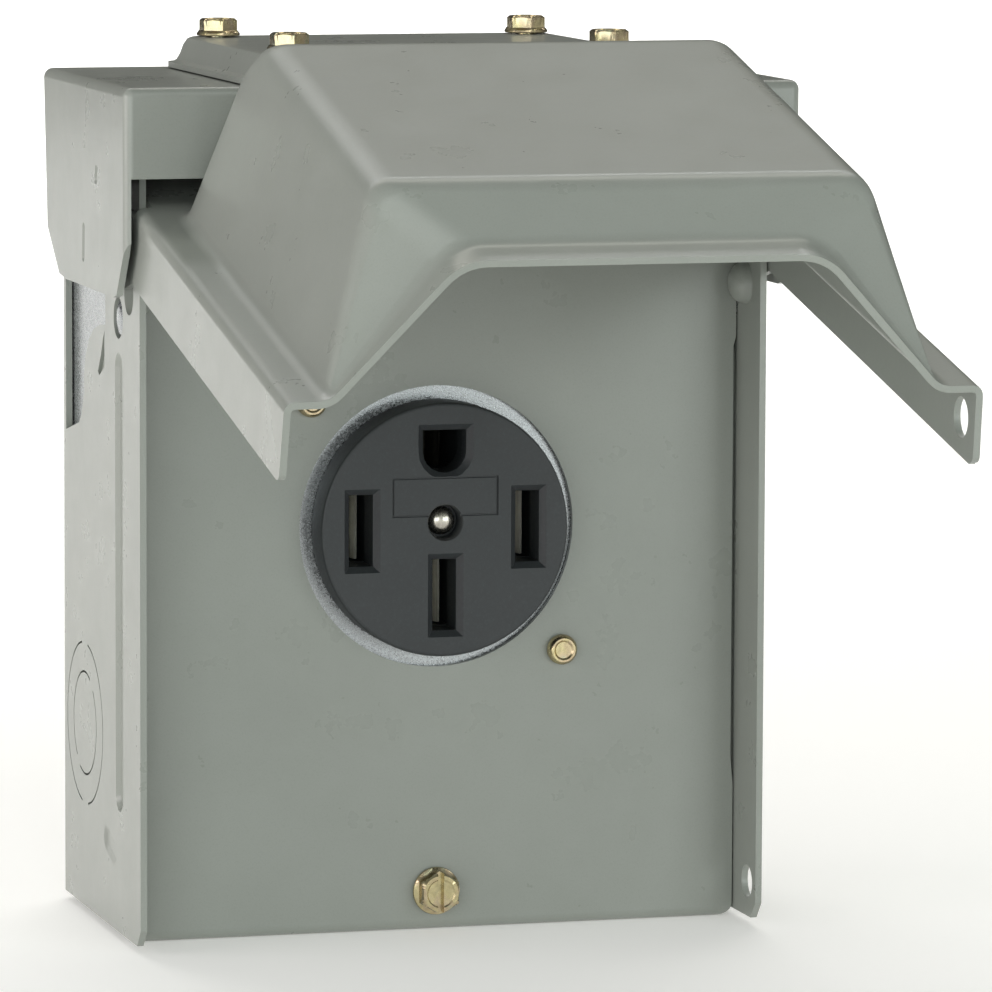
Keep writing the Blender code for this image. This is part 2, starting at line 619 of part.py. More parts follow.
def hood_surface(q=(4, 4, 5), rows=4):
    half = hood_grid(q, rows)
    ncol = len(half[0])
    rimcol = 4 + (q[0] - 1)          # column at x = 66
    verts, index = [], {}

    def vid(key, p):
        if key not in index:
            index[key] = len(verts)
            verts.append(p)
        return index[key]
    full = 2 * ncol - 1

    def col_point(row, c):
        # c from 0 (right arm low) to full-1 (left arm low)
        if c < ncol:
            x, s, n = row[c]
            if s > 100 and n < HOOD_RIM_N:
                s -= 0.16 * (n - HOOD_RIM_N)      # the padlock arm's free end is cut squarer
            return (x, s, n)
        x, s, n = row[full - 1 - c]
        return (-x, s, n)
    # extra rows behind: rear plate (between the side walls) and the arm ears
    N = HOOD_RIM_N
    R = 5.6
    base = half[0]
    rear = []
    for s in (-21.0, -6.0, 6.0):
        rear.append([(p[0], s, N) if 0 else (p[0], s, p[2]) for p in base])
    rows_all = rear + half
    ears = {
        2: [(8.0, -3.6), (7.4, 2.8), (7.4, 8.6), (7.0, N - 2.4)],
        1: [(1.0, -R), (0.0, 1.6), (1.2, 8.0), (2.6, N - 3.2)],
        0: [(-4.6, -3.2), (-R, 0.6), (-4.4, 5.4), (-1.2, 10.4)],
    }
    faces = []
    nr = len(rows_all)
    for r in range(nr):
        for c in range(full):
            cc = c if c < ncol else full - 1 - c
            p = col_point(rows_all[r], c)
            if r < 3:
                if cc < 4:
                    e = ears[r][cc]
                    p = (math.copysign(HOOD_HALF_W, p[0]), e[0], e[1])
                elif cc < rimcol:
                    continue
            vid((r, c), hood_pt(*p))
    for r in range(nr - 1):
        for c in range(full - 1):
            ks = [(r, c), (r, c + 1), (r + 1, c + 1), (r + 1, c)]
            if r < 3:
                c0 = min(c if c < ncol else full - 1 - c, c + 1 if c + 1 < ncol else full - 2 - c)
                if 3 <= c0 < rimcol:
                    continue
            if all(k in index for k in ks):
                faces.append([index[k] for k in ks])
    return verts, faces


def build_hood():
    verts, faces = hood_surface()
    # orient so that the outside is up / outward
    V = np.array(verts)
    f = faces[len(faces) // 2]
    vs, fs = None, faces
    n = np.cross(V[f[1]] - V[f[0]], V[f[2]] - V[f[0]])
    if n[2] < 0:
        fs = [g[::-1] for g in faces]
    vs, F = shell_from(verts, fs, SHEET)
    o = obj_from("hood", [tuple(v) for v in vs], F, PAINT)
    for s in (-1, 1):
        boolean(o, cyl("+X" if s > 0 else "-X", (s * (HOOD_HALF_W - 4), PIVOT[0], PIVOT[1]), 1.8, 8, 20))
    # padlock hole in the right arm, placed to meet the flange hole when closed
    dy, dz = PADLOCK[0] - PIVOT[0], PADLOCK[1] - PIVOT[1]
    c, s = math.cos(-HOOD_SWING), math.sin(-HOOD_SWING)
    ay, az = PIVOT[0] + c * dy - s * dz, PIVOT[1] + s * dy + c * dz
    boolean(o, cyl("+X", (HOOD_HALF_W - 5, ay, az), PADLOCK_R + 0.5, 9, 24))
    # rounded lower corner at the free end of each arm
    corner = [(146.0, -4.0), (146.0, 1.6), (141.75, 1.6)]
    corner += [(139.5 + 2.2 * math.cos(a), 1.45 - 2.2 * math.sin(a)) for a in np.linspace(0.15, math.pi / 2, 6)]
    corner += [(139.5, -4.0)]
    boolean(o, prism("cut", [hood_pt(0, p[0], p[1])[1:] for p in corner], "X", -90, -60))
    boolean(o, prism("cut", [hood_pt(0, p[0] + 2.3, p[1] + 0.3)[1:] for p in corner], "X", 60, 90))
    tidy(o)
    shade(o, 28)
    return o


# ---------------------------------------------------------------- receptacle
def slot_cut(x, z, w, h, y0, depth, bevel, round_bottom=False):
    """Bevelled pocket: outer size w x h at the face, narrower inside."""
    def outline(a, b):
        if round_bottom:
            r = min(a, b)
            pts = [(-a, b), (a, b), (a, 0)]
            pts += [(a * math.cos(-math.pi * k / 10), -b * 0.0 + b * math.sin(-math.pi * k / 10)) for k in range(1, 10)]
            pts += [(-a, 0)]
            return pts
        return [(-a, b), (a, b), (a, -b), (-a, -b)]
    levels = [(y0 - 0.6, 0.6), (y0, 0.0), (y0 + bevel, -bevel), (y0 + depth, -bevel)]
    rings = [[(x + p[0], y, z + p[1]) for p in outline(w / 2 + g, h / 2 + g)] for y, g in levels]
    return loft("cut", rings, None, False)


SLOT_BEVEL = 1.3
SLOTS = [(-18.1, 0.2, 7.8, 17.8, False), (18.3, 0.2, 7.8, 17.8, False), (0.1, -13.9, 7.8, 17.8, False), (0.1, 16.6, 12.1, 11.7, True)]


def build_face():
    c = (0, 0, RECEPT_Z)
    prof = [(FACE_R, STRAP_Y - 0.3), (FACE_R, FACE_Y + 0.8), (FACE_R - 0.25, FACE_Y + 0.25), (FACE_R - 0.8, FACE_Y)]
    rings = [[(r * math.cos(a), y, RECEPT_Z + r * math.sin(a)) for a in np.linspace(0, 2 * math.pi, 64, endpoint=False)] for r, y in prof]
    o = loft("receptacle_face", rings, BLACK, False)
    # label panel: a fine groove round a slightly sunk field
    boolean(o, box("cut", (-11.6, 11.6), (FACE_Y - 1, FACE_Y + 0.45), (RECEPT_Z + 2.9, RECEPT_Z + 11.3)))
    boolean(o, box("add", (-11.2, 11.2), (FACE_Y + 0.1, FACE_Y + 2.0), (RECEPT_Z + 3.3, RECEPT_Z + 10.9)), "UNION")
    for x, z, w, h, rb in SLOTS:
        boolean(o, slot_cut(x, RECEPT_Z + z, w, h, FACE_Y, 12, SLOT_BEVEL, rb))
    # centre rivet well
    boolean(o, turned("cut", [(4.5, -0.6), (3.95, 0.0), (3.6, 0.8), (3.6, 4.6)], "+Y", (0, FACE_Y, RECEPT_Z + 1.6), 24, None, False))
    boolean(o, turned("cut", [(1.7, 0), (1.7, 12)], "+Y", (0, FACE_Y + 3, RECEPT_Z + 1.6), 16, None, False))
    tidy(o)
    shade(o, 30)
    return o


def build_strap():
    y0, y1 = STRAP_Y, STRAP_Y + STRAP_T
    n = 72
    pts = []
    a0 = math.atan2(-EAR[1], EAR[0])
    d = math.hypot(*EAR)
    rr = 6.4
    for k in range(n):
        a = 2 * math.pi * k / n
        r = STRAP_R
        for q in (a0, a0 + math.pi):
            b = (a - q + math.pi) % (2 * math.pi) - math.pi
            # distance to the ear disc along this direction
            s = d * math.sin(abs(b))
            if s < rr and abs(b) < math.pi / 2:
                r = max(r, d * math.cos(b) + math.sqrt(rr * rr - s * s))
        pts.append((r * math.cos(a), RECEPT_Z + r * math.sin(a)))
    o = prism("mounting_strap", pts, "Y", y0, y1, GALV)
    for x, z, w, h, rb in SLOTS:
        boolean(o, box("cut", (x - w / 2 - 0.2, x + w / 2 + 0.2), (y0 - 2, y1 + 2), (RECEPT_Z + z - h / 2 - 0.2, RECEPT_Z + z + h / 2 + 0.2)))
    boolean(o, cyl("+Y", (0, y0 - 2, RECEPT_Z + 1.6), 2.1, 6, 20))
    for s in (-1, 1):
        boolean(o, cyl("+Y", (s * EAR[0], y0 - 2, RECEPT_Z - s * EAR[1]), 2.1, 6, 20))
    tidy(o)
    shade(o, 30)
    return o


REAR_Y0 = STRAP_Y + STRAP_T + 0.3
REAR_Y1 = 45.0


def build_rear():
    prof = [(25.6, REAR_Y0), (26.4, REAR_Y0 + 0.8), (26.0, REAR_Y1 - 2.0), (24.4, REAR_Y1)]
    rings = [[(r * math.cos(a), y, RECEPT_Z + r * math.sin(a)) for a in np.linspace(0, 2 * math.pi, 48, endpoint=False)] for r, y in prof]
    o = loft("receptacle_rear_housing", rings, BLACK, False)
    for x, z, w, h, rb in SLOTS:
        boolean(o, box("cut", (x - w / 2 + 0.2, x + w / 2 - 0.2), (REAR_Y0 - 2, 40.0), (RECEPT_Z + z - h / 2 + 1.2, RECEPT_Z + z + h / 2 - 1.2)))
        boolean(o, box("cut", (x - 1.0, x + 1.0), (39, REAR_Y1 + 2), (RECEPT_Z + z - 4.4, RECEPT_Z + z + 4.4)))
    boolean(o, cyl("+Y", (0, REAR_Y0 - 2, RECEPT_Z + 1.6), 1.7, 14, 16))
    tidy(o)
    shade(o, 30)
    return o


def build_contact(name, x, z, h):
    """Folded spring clip open to the front, tail to the terminal."""
    Z = RECEPT_Z + z
    hh = h / 2 - 1.6
    g, t = 1.1, 0.9
    prof = [(-g - t, 21.0), (-g - t, 38.0), (-0.6, 39.4), (-0.6, 52.0), (0.6, 52.0), (0.6, 39.4), (g + t, 38.0), (g + t, 21.0),
            (g + 0.4, 20.6), (g - 0.1, 22.4), (g, 36.8), (-g, 36.8), (-g + 0.1, 22.4), (-g - 0.4, 20.6)]
    o = prism(name, [(x + p[0], p[1]) for p in prof], "Z", Z - hh, Z + hh, BRASS)
    boolean(o, box("cut", (x - 3, x + 3), (38.9, 54), (Z + 4.0, Z + 20)))
    boolean(o, box("cut", (x - 3, x + 3), (38.9, 54), (Z - 20, Z - 4.0)))
    tidy(o)
    shade(o, 30)
    return o


def build_lug(name, x, z):
    Z = RECEPT_Z + z
    pts = fillet([(x - 4.6, Z - 6.2), (x + 4.6, Z - 6.2), (x + 4.6, Z + 6.2), (x - 4.6, Z + 6.2)], 1.2, 3)
    o = prism(name, pts, "Y", 45.4, 57.0, ALU)
    boolean(o, box("cut", (x - 0.9, x + 0.9), (44, 52.4), (Z - 4.4, Z + 4.4)))
    # wire hole crosses the block behind the tail, clamp screw thread from the rear
    boolean(o, cyl("+Y", (x, 52.0, Z), 2.35, 8, 16))
    tidy(o)
    shade(o, 30)
    return o


def simple_screw(name, axis, c, head_r, head_h, shank_r, shank_l, material, dish=0.3, n=24):
    prof = [(shank_r * 0.7, -shank_l), (shank_r, -shank_l + 0.5), (shank_r, 0.0), (head_r, 0.0), (head_r, head_h * 0.45),
            (head_r - 0.25, head_h * 0.8), (head_r - 0.7, head_h), (head_r - 1.1, head_h), (max(head_r - 1.5, 0.3), head_h - dish)]
    return turned(name, prof, axis, c, n, material)


# ================================================================= build everything
body = build_body()
bottom = build_bottom()
brl = build_bracket(-1)
brr = build_bracket(1)
panel = build_panel()
cap = build_cap()
hub = build_hub_plate()
hub_screws = []
for nm, sx, sy in (("front_left", -1, -1), ("front_right", 1, -1), ("rear_left", -1, 1), ("rear_right", 1, 1)):
    hub_screws.append(hex_screw("hub_screw_" + nm, "+Z", (HUB_C[0] + sx * HUB_SCREW[0], HUB_C[1] + sy * HUB_SCREW[1], HUB_TOP_Z + 0.3),
                                7.4, 4.7, 0.9, 3.7, 1.75, 11.5, ZINC))
cover_screw = hex_screw("cover_screw", "-Y", (0, PANEL_Y - 0.3, COVER_SCREW_Z), 8.0, 5.15, 0.9, 4.3, 1.9, 7.0, ZINC, slot=(1.3, 1.5))
hood = build_hood()
rivets = []
for s, nm in ((-1, "left"), (1, "right")):
    x0 = s * (BODY_HALF_W - SHEET - 0.3)         # under the inner head
    prof = [(1.4, -1.6), (2.2, -1.1), (2.45, -0.5), (2.45, 0.0), (1.5, 0.0), (1.5, 3.8), (4.2, 3.8), (4.2, 4.4), (3.8, 4.8)]
    rivets.append(turned("pivot_rivet_" + nm, prof, "+X" if s > 0 else "-X", (x0, PIVOT[0], PIVOT[1]), 20, GALV))
face = build_face()
strap = build_strap()
rear = build_rear()
CENTRE_RIVET = [(1.0, -16.0), (1.4, -15.5), (1.4, 0.0), (3.0, 0.0), (3.0, 0.4), (2.75, 1.2), (2.1, 1.9), (1.2, 2.32), (0.4, 2.44)]
centre_screw = turned("receptacle_centre_screw", CENTRE_RIVET, "-Y", (0, FACE_Y + 4.6 - 0.3, RECEPT_Z + 1.6), 24, STEEL)
mount_screws = []
for s, nm in ((-1, "upper_left"), (1, "lower_right")):
    mount_screws.append(simple_screw("strap_screw_" + nm, "-Y", (s * EAR[0], PANEL_Y - 0.3, RECEPT_Z - s * EAR[1]), 3.25, 2.1, 1.8, 6.5, ZINC, 0.35))
contacts = []
for nm, (x, z, w, h, rb) in zip(("hot_left", "hot_right", "neutral", "ground"), SLOTS):
    contacts.append(build_contact("contact_" + nm, x, z, h))
    contacts.append(build_lug("terminal_lug_" + nm, x, z))
    contacts.append(turned("terminal_screw_" + nm, [(1.2, 0), (2.05, 0.4), (2.05, 5.2), (1.8, 5.6), (1.1, 5.6), (0.9, 4.6)], "+Y",
                           (x, 53.3, RECEPT_Z + z), 16, STEEL))
# enclosure ground lug, on the back
gl = prism("enclosure_ground_lug", fillet([(-42.5, 33.0), (-33.5, 33.0), (-33.5, 52.0), (-42.5, 52.0)], 1.2, 3), "Y", 66.0, 73.7, ALU)
boolean(gl, box("cut", (-45, -30), (60, 71.2), (30, 44.4)))
boolean(gl, cyl("+Y", (-38, 60, 40), 1.9, 20, 16))
boolean(gl, cyl("+Z", (-38, 69.9, 40), 2.6, 20, 20))
tidy(gl)
shade(gl, 30)
gls = simple_screw("ground_lug_screw", "-Y", (-38, 70.9, 40), 3.4, 2.0, 1.6, 4.2, GREEN, 0.4)

# the hood turns about its pivots: origin on the axis
piv = Vector((0, PIVOT[0] * MM, PIVOT[1] * MM))
for v in hood.data.vertices:
    v.co -= piv
hood.location = piv
# put the row origin at the middle of the back face
for o in bpy.data.objects:
    o.location -= Vector(ORIGIN) * MM
bpy.context.view_layer.update()
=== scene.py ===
# Looks of the outdoor power outlet box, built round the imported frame.
import math
import bpy
import bmesh
import numpy as np
from mathutils import Vector, Matrix


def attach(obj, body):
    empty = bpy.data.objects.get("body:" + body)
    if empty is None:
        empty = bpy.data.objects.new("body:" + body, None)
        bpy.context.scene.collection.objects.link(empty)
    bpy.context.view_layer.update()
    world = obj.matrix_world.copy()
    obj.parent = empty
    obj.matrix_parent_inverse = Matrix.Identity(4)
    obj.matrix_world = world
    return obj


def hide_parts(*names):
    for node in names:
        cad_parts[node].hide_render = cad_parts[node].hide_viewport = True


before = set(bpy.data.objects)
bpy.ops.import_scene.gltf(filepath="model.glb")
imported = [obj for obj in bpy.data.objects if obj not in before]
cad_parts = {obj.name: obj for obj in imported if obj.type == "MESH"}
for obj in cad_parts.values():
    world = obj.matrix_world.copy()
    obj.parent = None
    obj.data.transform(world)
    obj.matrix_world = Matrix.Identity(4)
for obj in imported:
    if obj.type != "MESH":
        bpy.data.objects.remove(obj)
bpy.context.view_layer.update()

MM = 0.001

# ---------------------------------------------------------------- dimensions (mm)
SHEET = 1.4                 # painted sheet thickness
BODY_HALF_W = 68.0          # outside of the side walls
BODY_DEPTH = 75.4           # front edge of the side flanges (y=0) to the back
BODY_TOP = 178.3
BODY_CORNER_R = 2.0
FLANGE_CHAMFER = (3.3, 3.7)
PANEL_Y = 15.5              # front face of the dead-front panel
PANEL_HALF_W = 66.3
PANEL_BOTTOM = -1.7
PANEL_TOP = 152.0
PANEL_FLANGE_Y = 30.0
PANEL_HOLE_R = 30.0
RECEPT_Z = 85.0             # receptacle axis height
FACE_R = 27.0
FACE_Y = 8.5
STRAP_Y = 17.2
STRAP_T = 1.4
STRAP_R = 33.0
EAR = (27.6, 27.2)          # strap screws, diagonal offset from the receptacle axis
CAP_HALF_W = 72.8
CAP_FRONT = -7.5
CAP_BACK = 71.0
CAP_TOP = 180.0
CAP_FLANGE_Z = 161.3
CAP_END_Z = 136.2
HUB_C = (-1.6, 31.6)
HUB_SCREW = (34.5, 31.4)
HUB_HALF = (45.5, 38.0)
HUB_FLARE_Y = 0.3          # front and rear flares are tighter than the sides
HUB_BASE_Z = 180.3
HUB_TOP_Z = 186.7
HUB_T = 1.2
PIVOT = (12.7, 142.9)       # y, z of the hood pivots
HOOD_OPEN = math.radians(12.3)    # hood rim below horizontal as shown
HOOD_SWING = math.radians(77.7)   # swing from open to closed
HOOD_HALF_W = 69.8
HOOD_RIM_N = 15.5
HOOD_BEND = 2.4             # outer radius along the arm's top bend
HOOD_ARM_LOW = -0.8
PADLOCK_R = 3.6
PADLOCK = (6.0, 7.5)        # y, z of the flange hole
COVER_SCREW_Z = 6.8
ORIGIN = (0.0, 75.4, 90.0)   # row origin: middle of the back face, seen from the flange front and wall bottom
KO_C = (53.3, 39.9)
KO_R = (17.45, 11.1)
KO_SLOT = 0.45


# ---------------------------------------------------------------- materials
class Nodes:
    """Small helper that wires a procedural Principled material."""

    def __init__(self, name):
        self.m = bpy.data.materials.new(name)
        self.m.use_nodes = True
        self.t = self.m.node_tree
        self.b = self.t.nodes["Principled BSDF"]
        self.geo = self.t.nodes.new("ShaderNodeTexCoord")

    def link(self, a, b):
        self.t.links.new(a, b)

    def mapping(self, scale=(1, 1, 1), rot=(0, 0, 0)):
        n = self.t.nodes.new("ShaderNodeMapping")
        n.inputs["Scale"].default_value = scale
        n.inputs["Rotation"].default_value = rot
        self.link(self.geo.outputs["Object"], n.inputs["Vector"])
        return n.outputs["Vector"]

    def noise(self, scale, detail=3.0, rough=0.5, vec=None, dist=0.0):
        n = self.t.nodes.new("ShaderNodeTexNoise")
        n.inputs["Scale"].default_value = scale
        n.inputs["Detail"].default_value = detail
        n.inputs["Roughness"].default_value = rough
        n.inputs["Distortion"].default_value = dist
        self.link(vec if vec is not None else self.geo.outputs["Object"], n.inputs["Vector"])
        return n.outputs["Fac"]

    def voronoi(self, scale, out="Color", feature="F1", vec=None):
        n = self.t.nodes.new("ShaderNodeTexVoronoi")
        n.feature = feature
        n.inputs["Scale"].default_value = scale
        self.link(vec if vec is not None else self.geo.outputs["Object"], n.inputs["Vector"])
        return n.outputs[out]

    def ramp(self, fac, stops):
        n = self.t.nodes.new("ShaderNodeValToRGB")
        e = n.color_ramp.elements
        while len(e) < len(stops):
            e.new(0.5)
        for el, (p, c) in zip(e, stops):
            el.position = p
            el.color = (*c, 1) if len(c) == 3 else c
        self.link(fac, n.inputs["Fac"])
        return n.outputs["Color"]

    def rng(self, v, a, b, lo, hi):
        n = self.t.nodes.new("ShaderNodeMapRange")
        n.inputs["From Min"].default_value = a
        n.inputs["From Max"].default_value = b
        n.inputs["To Min"].default_value = lo
        n.inputs["To Max"].default_value = hi
        self.link(v, n.inputs["Value"])
        return n.outputs["Result"]

    def math(self, op, a, b):
        n = self.t.nodes.new("ShaderNodeMath")
        n.operation = op
        for i, v in enumerate((a, b)):
            if isinstance(v, (int, float)):
                n.inputs[i].default_value = v
            else:
                self.link(v, n.inputs[i])
        return n.outputs[0]

    def mix(self, fac, a, b, mode="MIX"):
        n = self.t.nodes.new("ShaderNodeMix")
        n.data_type = "RGBA"
        n.blend_type = mode
        for s, v in (("Factor", fac), ("A", a), ("B", b)):
            k = [i for i in n.inputs if i.name == s and (i.type == "RGBA" or s == "Factor" and i.type == "VALUE")][0]
            if isinstance(v, (int, float)):
                k.default_value = v
            elif isinstance(v, tuple):
                k.default_value = (*v, 1)
            else:
                self.link(v, k)
        return [o for o in n.outputs if o.type == "RGBA"][0]

    def bump(self, height, dist, strength=1.0, prev=None):
        n = self.t.nodes.new("ShaderNodeBump")
        n.inputs["Distance"].default_value = dist
        n.inputs["Strength"].default_value = strength
        self.link(height, n.inputs["Height"])
        if prev is not None:
            self.link(prev, n.inputs["Normal"])
        return n.outputs["Normal"]

    def set(self, **kw):
        names = {"color": "Base Color", "metal": "Metallic", "rough": "Roughness", "normal": "Normal", "coat": "Coat Weight",
                 "coat_rough": "Coat Roughness", "ior": "IOR", "spec": "Specular IOR Level"}
        for k, v in kw.items():
            s = self.b.inputs[names[k]]
            if isinstance(v, (int, float)):
                s.default_value = v
            elif isinstance(v, tuple):
                s.default_value = (*v, 1)
            else:
                self.link(v, s)
        return self.m


def make_paint(name, base, rough=0.30):
    n = Nodes(name)
    # slow drift of tone, fine enamel speckle, faint handling marks
    big = n.noise(16, 3, 0.55)
    mid = n.noise(95, 4, 0.6)
    lo = tuple(c * 0.955 for c in base)
    hi = tuple(min(1, c * 1.045) for c in base)
    col = n.ramp(n.rng(big, 0.3, 0.7, 0, 1), [(0.0, lo), (1.0, hi)])
    spk = n.ramp(n.noise(2600, 2, 0.6), [(0.28, (0.90, 0.905, 0.90)), (0.5, (1, 1, 1)), (0.75, (1.0, 1.0, 1.0)), (0.9, (1.0, 1.0, 1.0))])
    col = n.mix(0.5, col, spk, "MULTIPLY")
    smudge = n.ramp(mid, [(0.35, (0.965, 0.97, 0.96)), (0.62, (1, 1, 1))])
    col = n.mix(0.6, col, smudge, "MULTIPLY")
    r = n.math("ADD", n.rng(mid, 0.3, 0.7, rough - 0.035, rough + 0.045), n.rng(big, 0.3, 0.7, -0.02, 0.02))
    peel = n.noise(620, 2, 0.45)
    fine = n.noise(2400, 2, 0.5)
    nm = n.bump(peel, 0.000028, 0.55)
    nm = n.bump(fine, 0.000006, 0.5, nm)
    return n.set(color=col, rough=r, metal=0.0, normal=nm, coat=0.14, coat_rough=0.12, ior=1.44)


PAINT_RGB = (0.264, 0.279, 0.253)
PAINT = make_paint("grey_paint_enamel", PAINT_RGB)


def make_galv(name, tint=(0.40, 0.415, 0.425), scale=3200, rough=0.24, bright=1.0):
    n = Nodes(name)
    cell = n.voronoi(scale, "Color")
    sep = n.t.nodes.new("ShaderNodeSeparateColor")
    n.link(cell, sep.inputs["Color"])
    g = sep.outputs["Red"]
    cl = n.noise(60, 4, 0.6)
    lo = tuple(c * 0.80 * bright for c in tint)
    hi = tuple(min(1, c * 1.14 * bright) for c in tint)
    col = n.ramp(g, [(0.0, lo), (1.0, hi)])
    col = n.mix(0.5, col, n.ramp(cl, [(0.3, (0.78, 0.80, 0.82)), (0.7, (1, 1, 1))]), "MULTIPLY")
    r = n.math("ADD", n.rng(g, 0, 1, rough - 0.1, rough + 0.12), n.rng(cl, 0.3, 0.7, -0.05, 0.05))
    nm = n.bump(n.voronoi(scale, "Distance"), 0.000012, 0.5)
    nm = n.bump(n.noise(1800, 3, 0.6), 0.00001, 0.6, nm)
    return n.set(color=col, rough=r, metal=0.85, normal=nm)


GALV = make_galv("galvanised_spangle")


def make_zinc(name):
    n = Nodes(name)
    v = n.noise(260, 3, 0.5, None, 0.6)
    col = n.ramp(v, [(0.25, (0.44, 0.38, 0.23)), (0.42, (0.62, 0.54, 0.31)), (0.55, (0.56, 0.45, 0.30)), (0.68, (0.46, 0.46, 0.31)), (0.8, (0.66, 0.59, 0.40))])
    dirt = n.noise(900, 3, 0.6)
    col = n.mix(0.5, col, n.ramp(dirt, [(0.3, (0.7, 0.66, 0.58)), (0.6, (1, 1, 1))]), "MULTIPLY")
    r = n.rng(dirt, 0.3, 0.7, 0.16, 0.28)
    nm = n.bump(n.noise(1500, 3, 0.55), 0.000014, 0.5)
    return n.set(color=col, rough=r, metal=1.0, normal=nm)


ZINC = make_zinc("yellow_zinc_chromate")


def make_black(name, base=(0.020, 0.0235, 0.0255)):
    n = Nodes(name)
    g = n.noise(1500, 4, 0.65)
    big = n.noise(70, 3, 0.5)
    hi = tuple(c * 1.7 for c in base)
    col = n.ramp(g, [(0.3, tuple(c * 0.75 for c in base)), (0.55, base), (0.8, hi)])
    col = n.mix(0.5, col, n.ramp(big, [(0.3, (0.8, 0.8, 0.82)), (0.7, (1, 1, 1))]), "MULTIPLY")
    r = n.math("ADD", n.rng(g, 0.3, 0.7, 0.44, 0.58), n.rng(big, 0.3, 0.7, -0.05, 0.05))
    nm = n.bump(g, 0.00002, 0.5)
    nm = n.bump(n.noise(420, 2, 0.5), 0.00002, 0.4, nm)
    return n.set(color=col, rough=r, metal=0.0, normal=nm, ior=1.5)


BLACK = make_black("black_thermoset_moulded")


def make_metal(name, base, rough, streak=(1, 1, 0.06), scale=1400, amt=0.16):
    n = Nodes(name)
    v = n.noise(scale, 3, 0.6, n.mapping(streak))
    d = n.noise(220, 3, 0.6)
    col = n.ramp(v, [(0.3, tuple(c * (1 - amt) for c in base)), (0.7, tuple(min(1, c * (1 + amt)) for c in base))])
    col = n.mix(0.4, col, n.ramp(d, [(0.35, (0.8, 0.78, 0.75)), (0.65, (1, 1, 1))]), "MULTIPLY")
    r = n.rng(v, 0.3, 0.7, rough - 0.07, rough + 0.08)
    nm = n.bump(v, 0.00001, 0.4)
    return n.set(color=col, rough=r, metal=1.0, normal=nm)


BRASS = make_metal("spring_brass", (0.92, 0.88, 0.76), 0.5)
BRASS.node_tree.nodes["Principled BSDF"].inputs["Metallic"].default_value = 0.35
# darker copy of the spring brass: painted shade standing in for the shadow deep in the ground slot
BRASS_PAINTED_SHADE = make_metal("brass_in_painted_shade", (0.16, 0.155, 0.13), 0.5)
ALU = make_metal("tinned_aluminium_block", (0.68, 0.68, 0.67), 0.36)
STEEL = make_metal("bright_steel", (0.56, 0.53, 0.47), 0.26)
GREEN = make_metal("green_dyed_zinc", (0.08, 0.32, 0.14), 0.34)


# ---------------------------------------------------------------- mesh helpers
def obj_from(name, verts, faces, material=None, smooth=False):
    me = bpy.data.meshes.new(name)
    me.from_pydata([tuple(MM * c for c in v) for v in verts], [], faces)
    me.validate()
    bm = bmesh.new()
    bm.from_mesh(me)
    bmesh.ops.remove_doubles(bm, verts=bm.verts, dist=1e-6)
    bmesh.ops.recalc_face_normals(bm, faces=bm.faces)
    if bm.calc_volume(signed=True) < 0:
        bmesh.ops.reverse_faces(bm, faces=bm.faces)
    bm.to_mesh(me)
    bm.free()
    o = bpy.data.objects.new(name, me)
    bpy.context.scene.collection.objects.link(o)
    if material:
        me.materials.append(material)
    if smooth:
        shade(o, 35)
    return o


def shade(o, angle=35):
    me = o.data
    for p in me.polygons:
        p.use_smooth = True
    bm = bmesh.new()
    bm.from_mesh(me)
    lim = math.radians(angle)
    for e in bm.edges:
        e.smooth = not (len(e.link_faces) != 2 or e.calc_face_angle(0) > lim)
    bm.to_mesh(me)
    bm.free()


def prism(name, pts, axis, a, b, material=None):
    """Closed prism: pts are 2-D in the plane normal to axis, extruded a..b."""
    n = len(pts)

    def p3(p, h):
        if axis == "X":
            return (h, p[0], p[1])
        if axis == "Y":
            return (p[0], h, p[1])
        return (p[0], p[1], h)
    v = [p3(p, a) for p in pts] + [p3(p, b) for p in pts]
    f = [tuple(range(n))[::-1], tuple(range(n, 2 * n))]
    f += [(i, (i + 1) % n, n + (i + 1) % n, n + i) for i in range(n)]
    return obj_from(name, v, f, material)


def box(name, x, y, z, material=None):
    return prism(name, [(x[0], y[0]), (x[1], y[0]), (x[1], y[1]), (x[0], y[1])], "Z", z[0], z[1], material)


def loft(name, rings, material=None, smooth=True):
    """Rings of equal length, capped at both ends."""
    n = len(rings[0])
    v = [p for r in rings for p in r]
    f = [tuple(range(n))[::-1]]
    for k in range(len(rings) - 1):
        for i in range(n):
            j = (i + 1) % n
            f.append((k * n + i, k * n + j, (k + 1) * n + j, (k + 1) * n + i))
    m = (len(rings) - 1) * n
    f.append(tuple(range(m, m + n)))
    return obj_from(name, v, f, material, smooth)


def orient(p, h, axis, c):
    """Local ring point p=(u,v) at height h to world, axis tells where h points."""
    u, v = p
    if axis == "+X":
        return (c[0] + h, c[1] + u, c[2] + v)
    if axis == "-X":
        return (c[0] - h, c[1] - u, c[2] + v)
    if axis == "+Y":
        return (c[0] - u, c[1] + h, c[2] + v)
    if axis == "-Y":
        return (c[0] + u, c[1] - h, c[2] + v)
    if axis == "-Z":
        return (c[0] - u, c[1] + v, c[2] - h)
    return (c[0] + u, c[1] + v, c[2] + h)


def circ(r, n=64, ph=0.0):
    return [(r * math.cos(ph + 2 * math.pi * i / n), r * math.sin(ph + 2 * math.pi * i / n)) for i in range(n)]


def hexring(af, n=72, k=1.0):
    r = af / 2
    out = []
    for i in range(n):
        a = 2 * math.pi * i / n
        b = (a + math.pi / 6) % (math.pi / 3) - math.pi / 6
        d = r / math.cos(b)
        d = min(d, r * k) if k > 1.0 else d
        out.append((d * math.cos(a), d * math.sin(a)))
    return out


def turned(name, prof, axis, c, n=64, material=None, smooth=True):
    """prof: list of (radius, height)."""
    rings = [[orient(p, h, axis, c) for p in circ(r, n)] for r, h in prof]
    return loft(name, rings, material, smooth)


